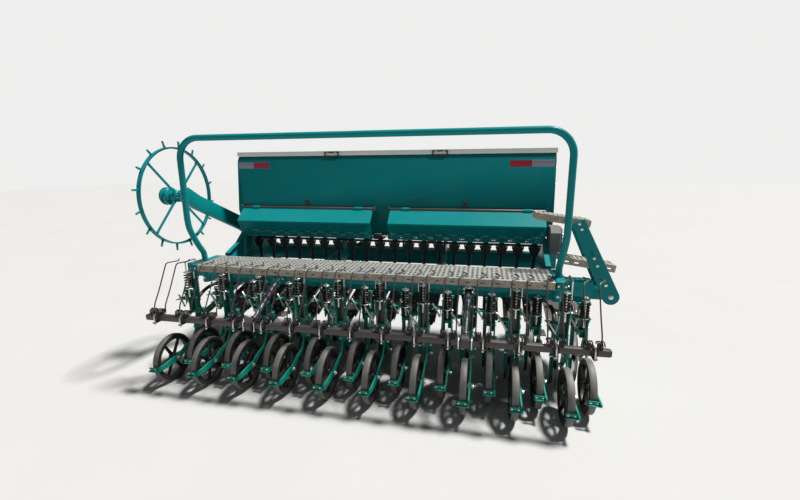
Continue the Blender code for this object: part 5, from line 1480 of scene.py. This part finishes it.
def sun(name, towards, power, angle, tint):
    """A broad, distant lamp that shines from a direction."""
    light = bpy.data.lights.new(name, "SUN")
    light.energy = power
    light.angle = radians(angle)
    light.color = tint
    thing = bpy.data.objects.new(name, light)
    bpy.context.scene.collection.objects.link(thing)
    thing.rotation_euler = Vector(towards).to_track_quat("Z", "Y").to_euler()


def studio():
    floor()
    sun("key", (0.368, 0.129, 0.921), 6.3, 7.0, (1.0, 0.985, 0.955))
    sun("fill", (-0.35, -0.85, 0.40), 0.10, 60.0, (0.90, 0.96, 1.0))
    world = bpy.data.worlds.new("studio")
    bpy.context.scene.world = world
    world.use_nodes = True
    tree = world.node_tree
    sky = tree.nodes["Background"]
    sky.inputs["Color"].default_value = (0.93, 0.95, 0.97, 1)
    sky.inputs["Strength"].default_value = 0.13
    seen = tree.nodes.new("ShaderNodeBackground")
    seen.inputs["Color"].default_value = (0.86, 0.86, 0.855, 1)
    pick = tree.nodes.new("ShaderNodeMixShader")
    path = tree.nodes.new("ShaderNodeLightPath")
    tree.links.new(path.outputs["Is Camera Ray"], pick.inputs["Fac"])
    tree.links.new(sky.outputs["Background"], pick.inputs[1])
    tree.links.new(seen.outputs["Background"], pick.inputs[2])
    tree.links.new(pick.outputs["Shader"], tree.nodes["World Output"].inputs["Surface"])
    bpy.context.scene.view_settings.view_transform = "Standard"


def camera():
    yaw, pitch, roll = radians(11.92), radians(-12.09), radians(-0.48)
    lens = bpy.data.cameras.new("camera")
    lens.sensor_width = 36.0
    lens.lens = 18.17
    lens.clip_end = 200
    thing = bpy.data.objects.new("camera", lens)
    bpy.context.scene.collection.objects.link(thing)
    forward = Vector((-sin(yaw) * cos(pitch), cos(yaw) * cos(pitch), sin(pitch)))
    level = Vector((cos(yaw), sin(yaw), 0))
    over = level.cross(forward)
    right = level * cos(roll) + over * sin(roll)
    up = over * cos(roll) - level * sin(roll)
    turn = Matrix((right, up, -forward)).transposed().to_4x4()
    thing.matrix_world = Matrix.Translation(BASE + Vector((0.7638, -2.2772, 1.5344))) @ turn
    bpy.context.scene.camera = thing


# ================================================================ assembly
camera()
studio()
wheels_and_discs()
rear_row()
front_row()
main_frame()
headstock()
hopper()
hopper_lid()
metering_guard("left")
metering_guard("right")
meters()
hoses()
gearbox()
platform()
guard_rail()
ladder()
harrow()
land_arm()
land_wheel()
stand(-1)
stand(1)
scrap(BOLT)
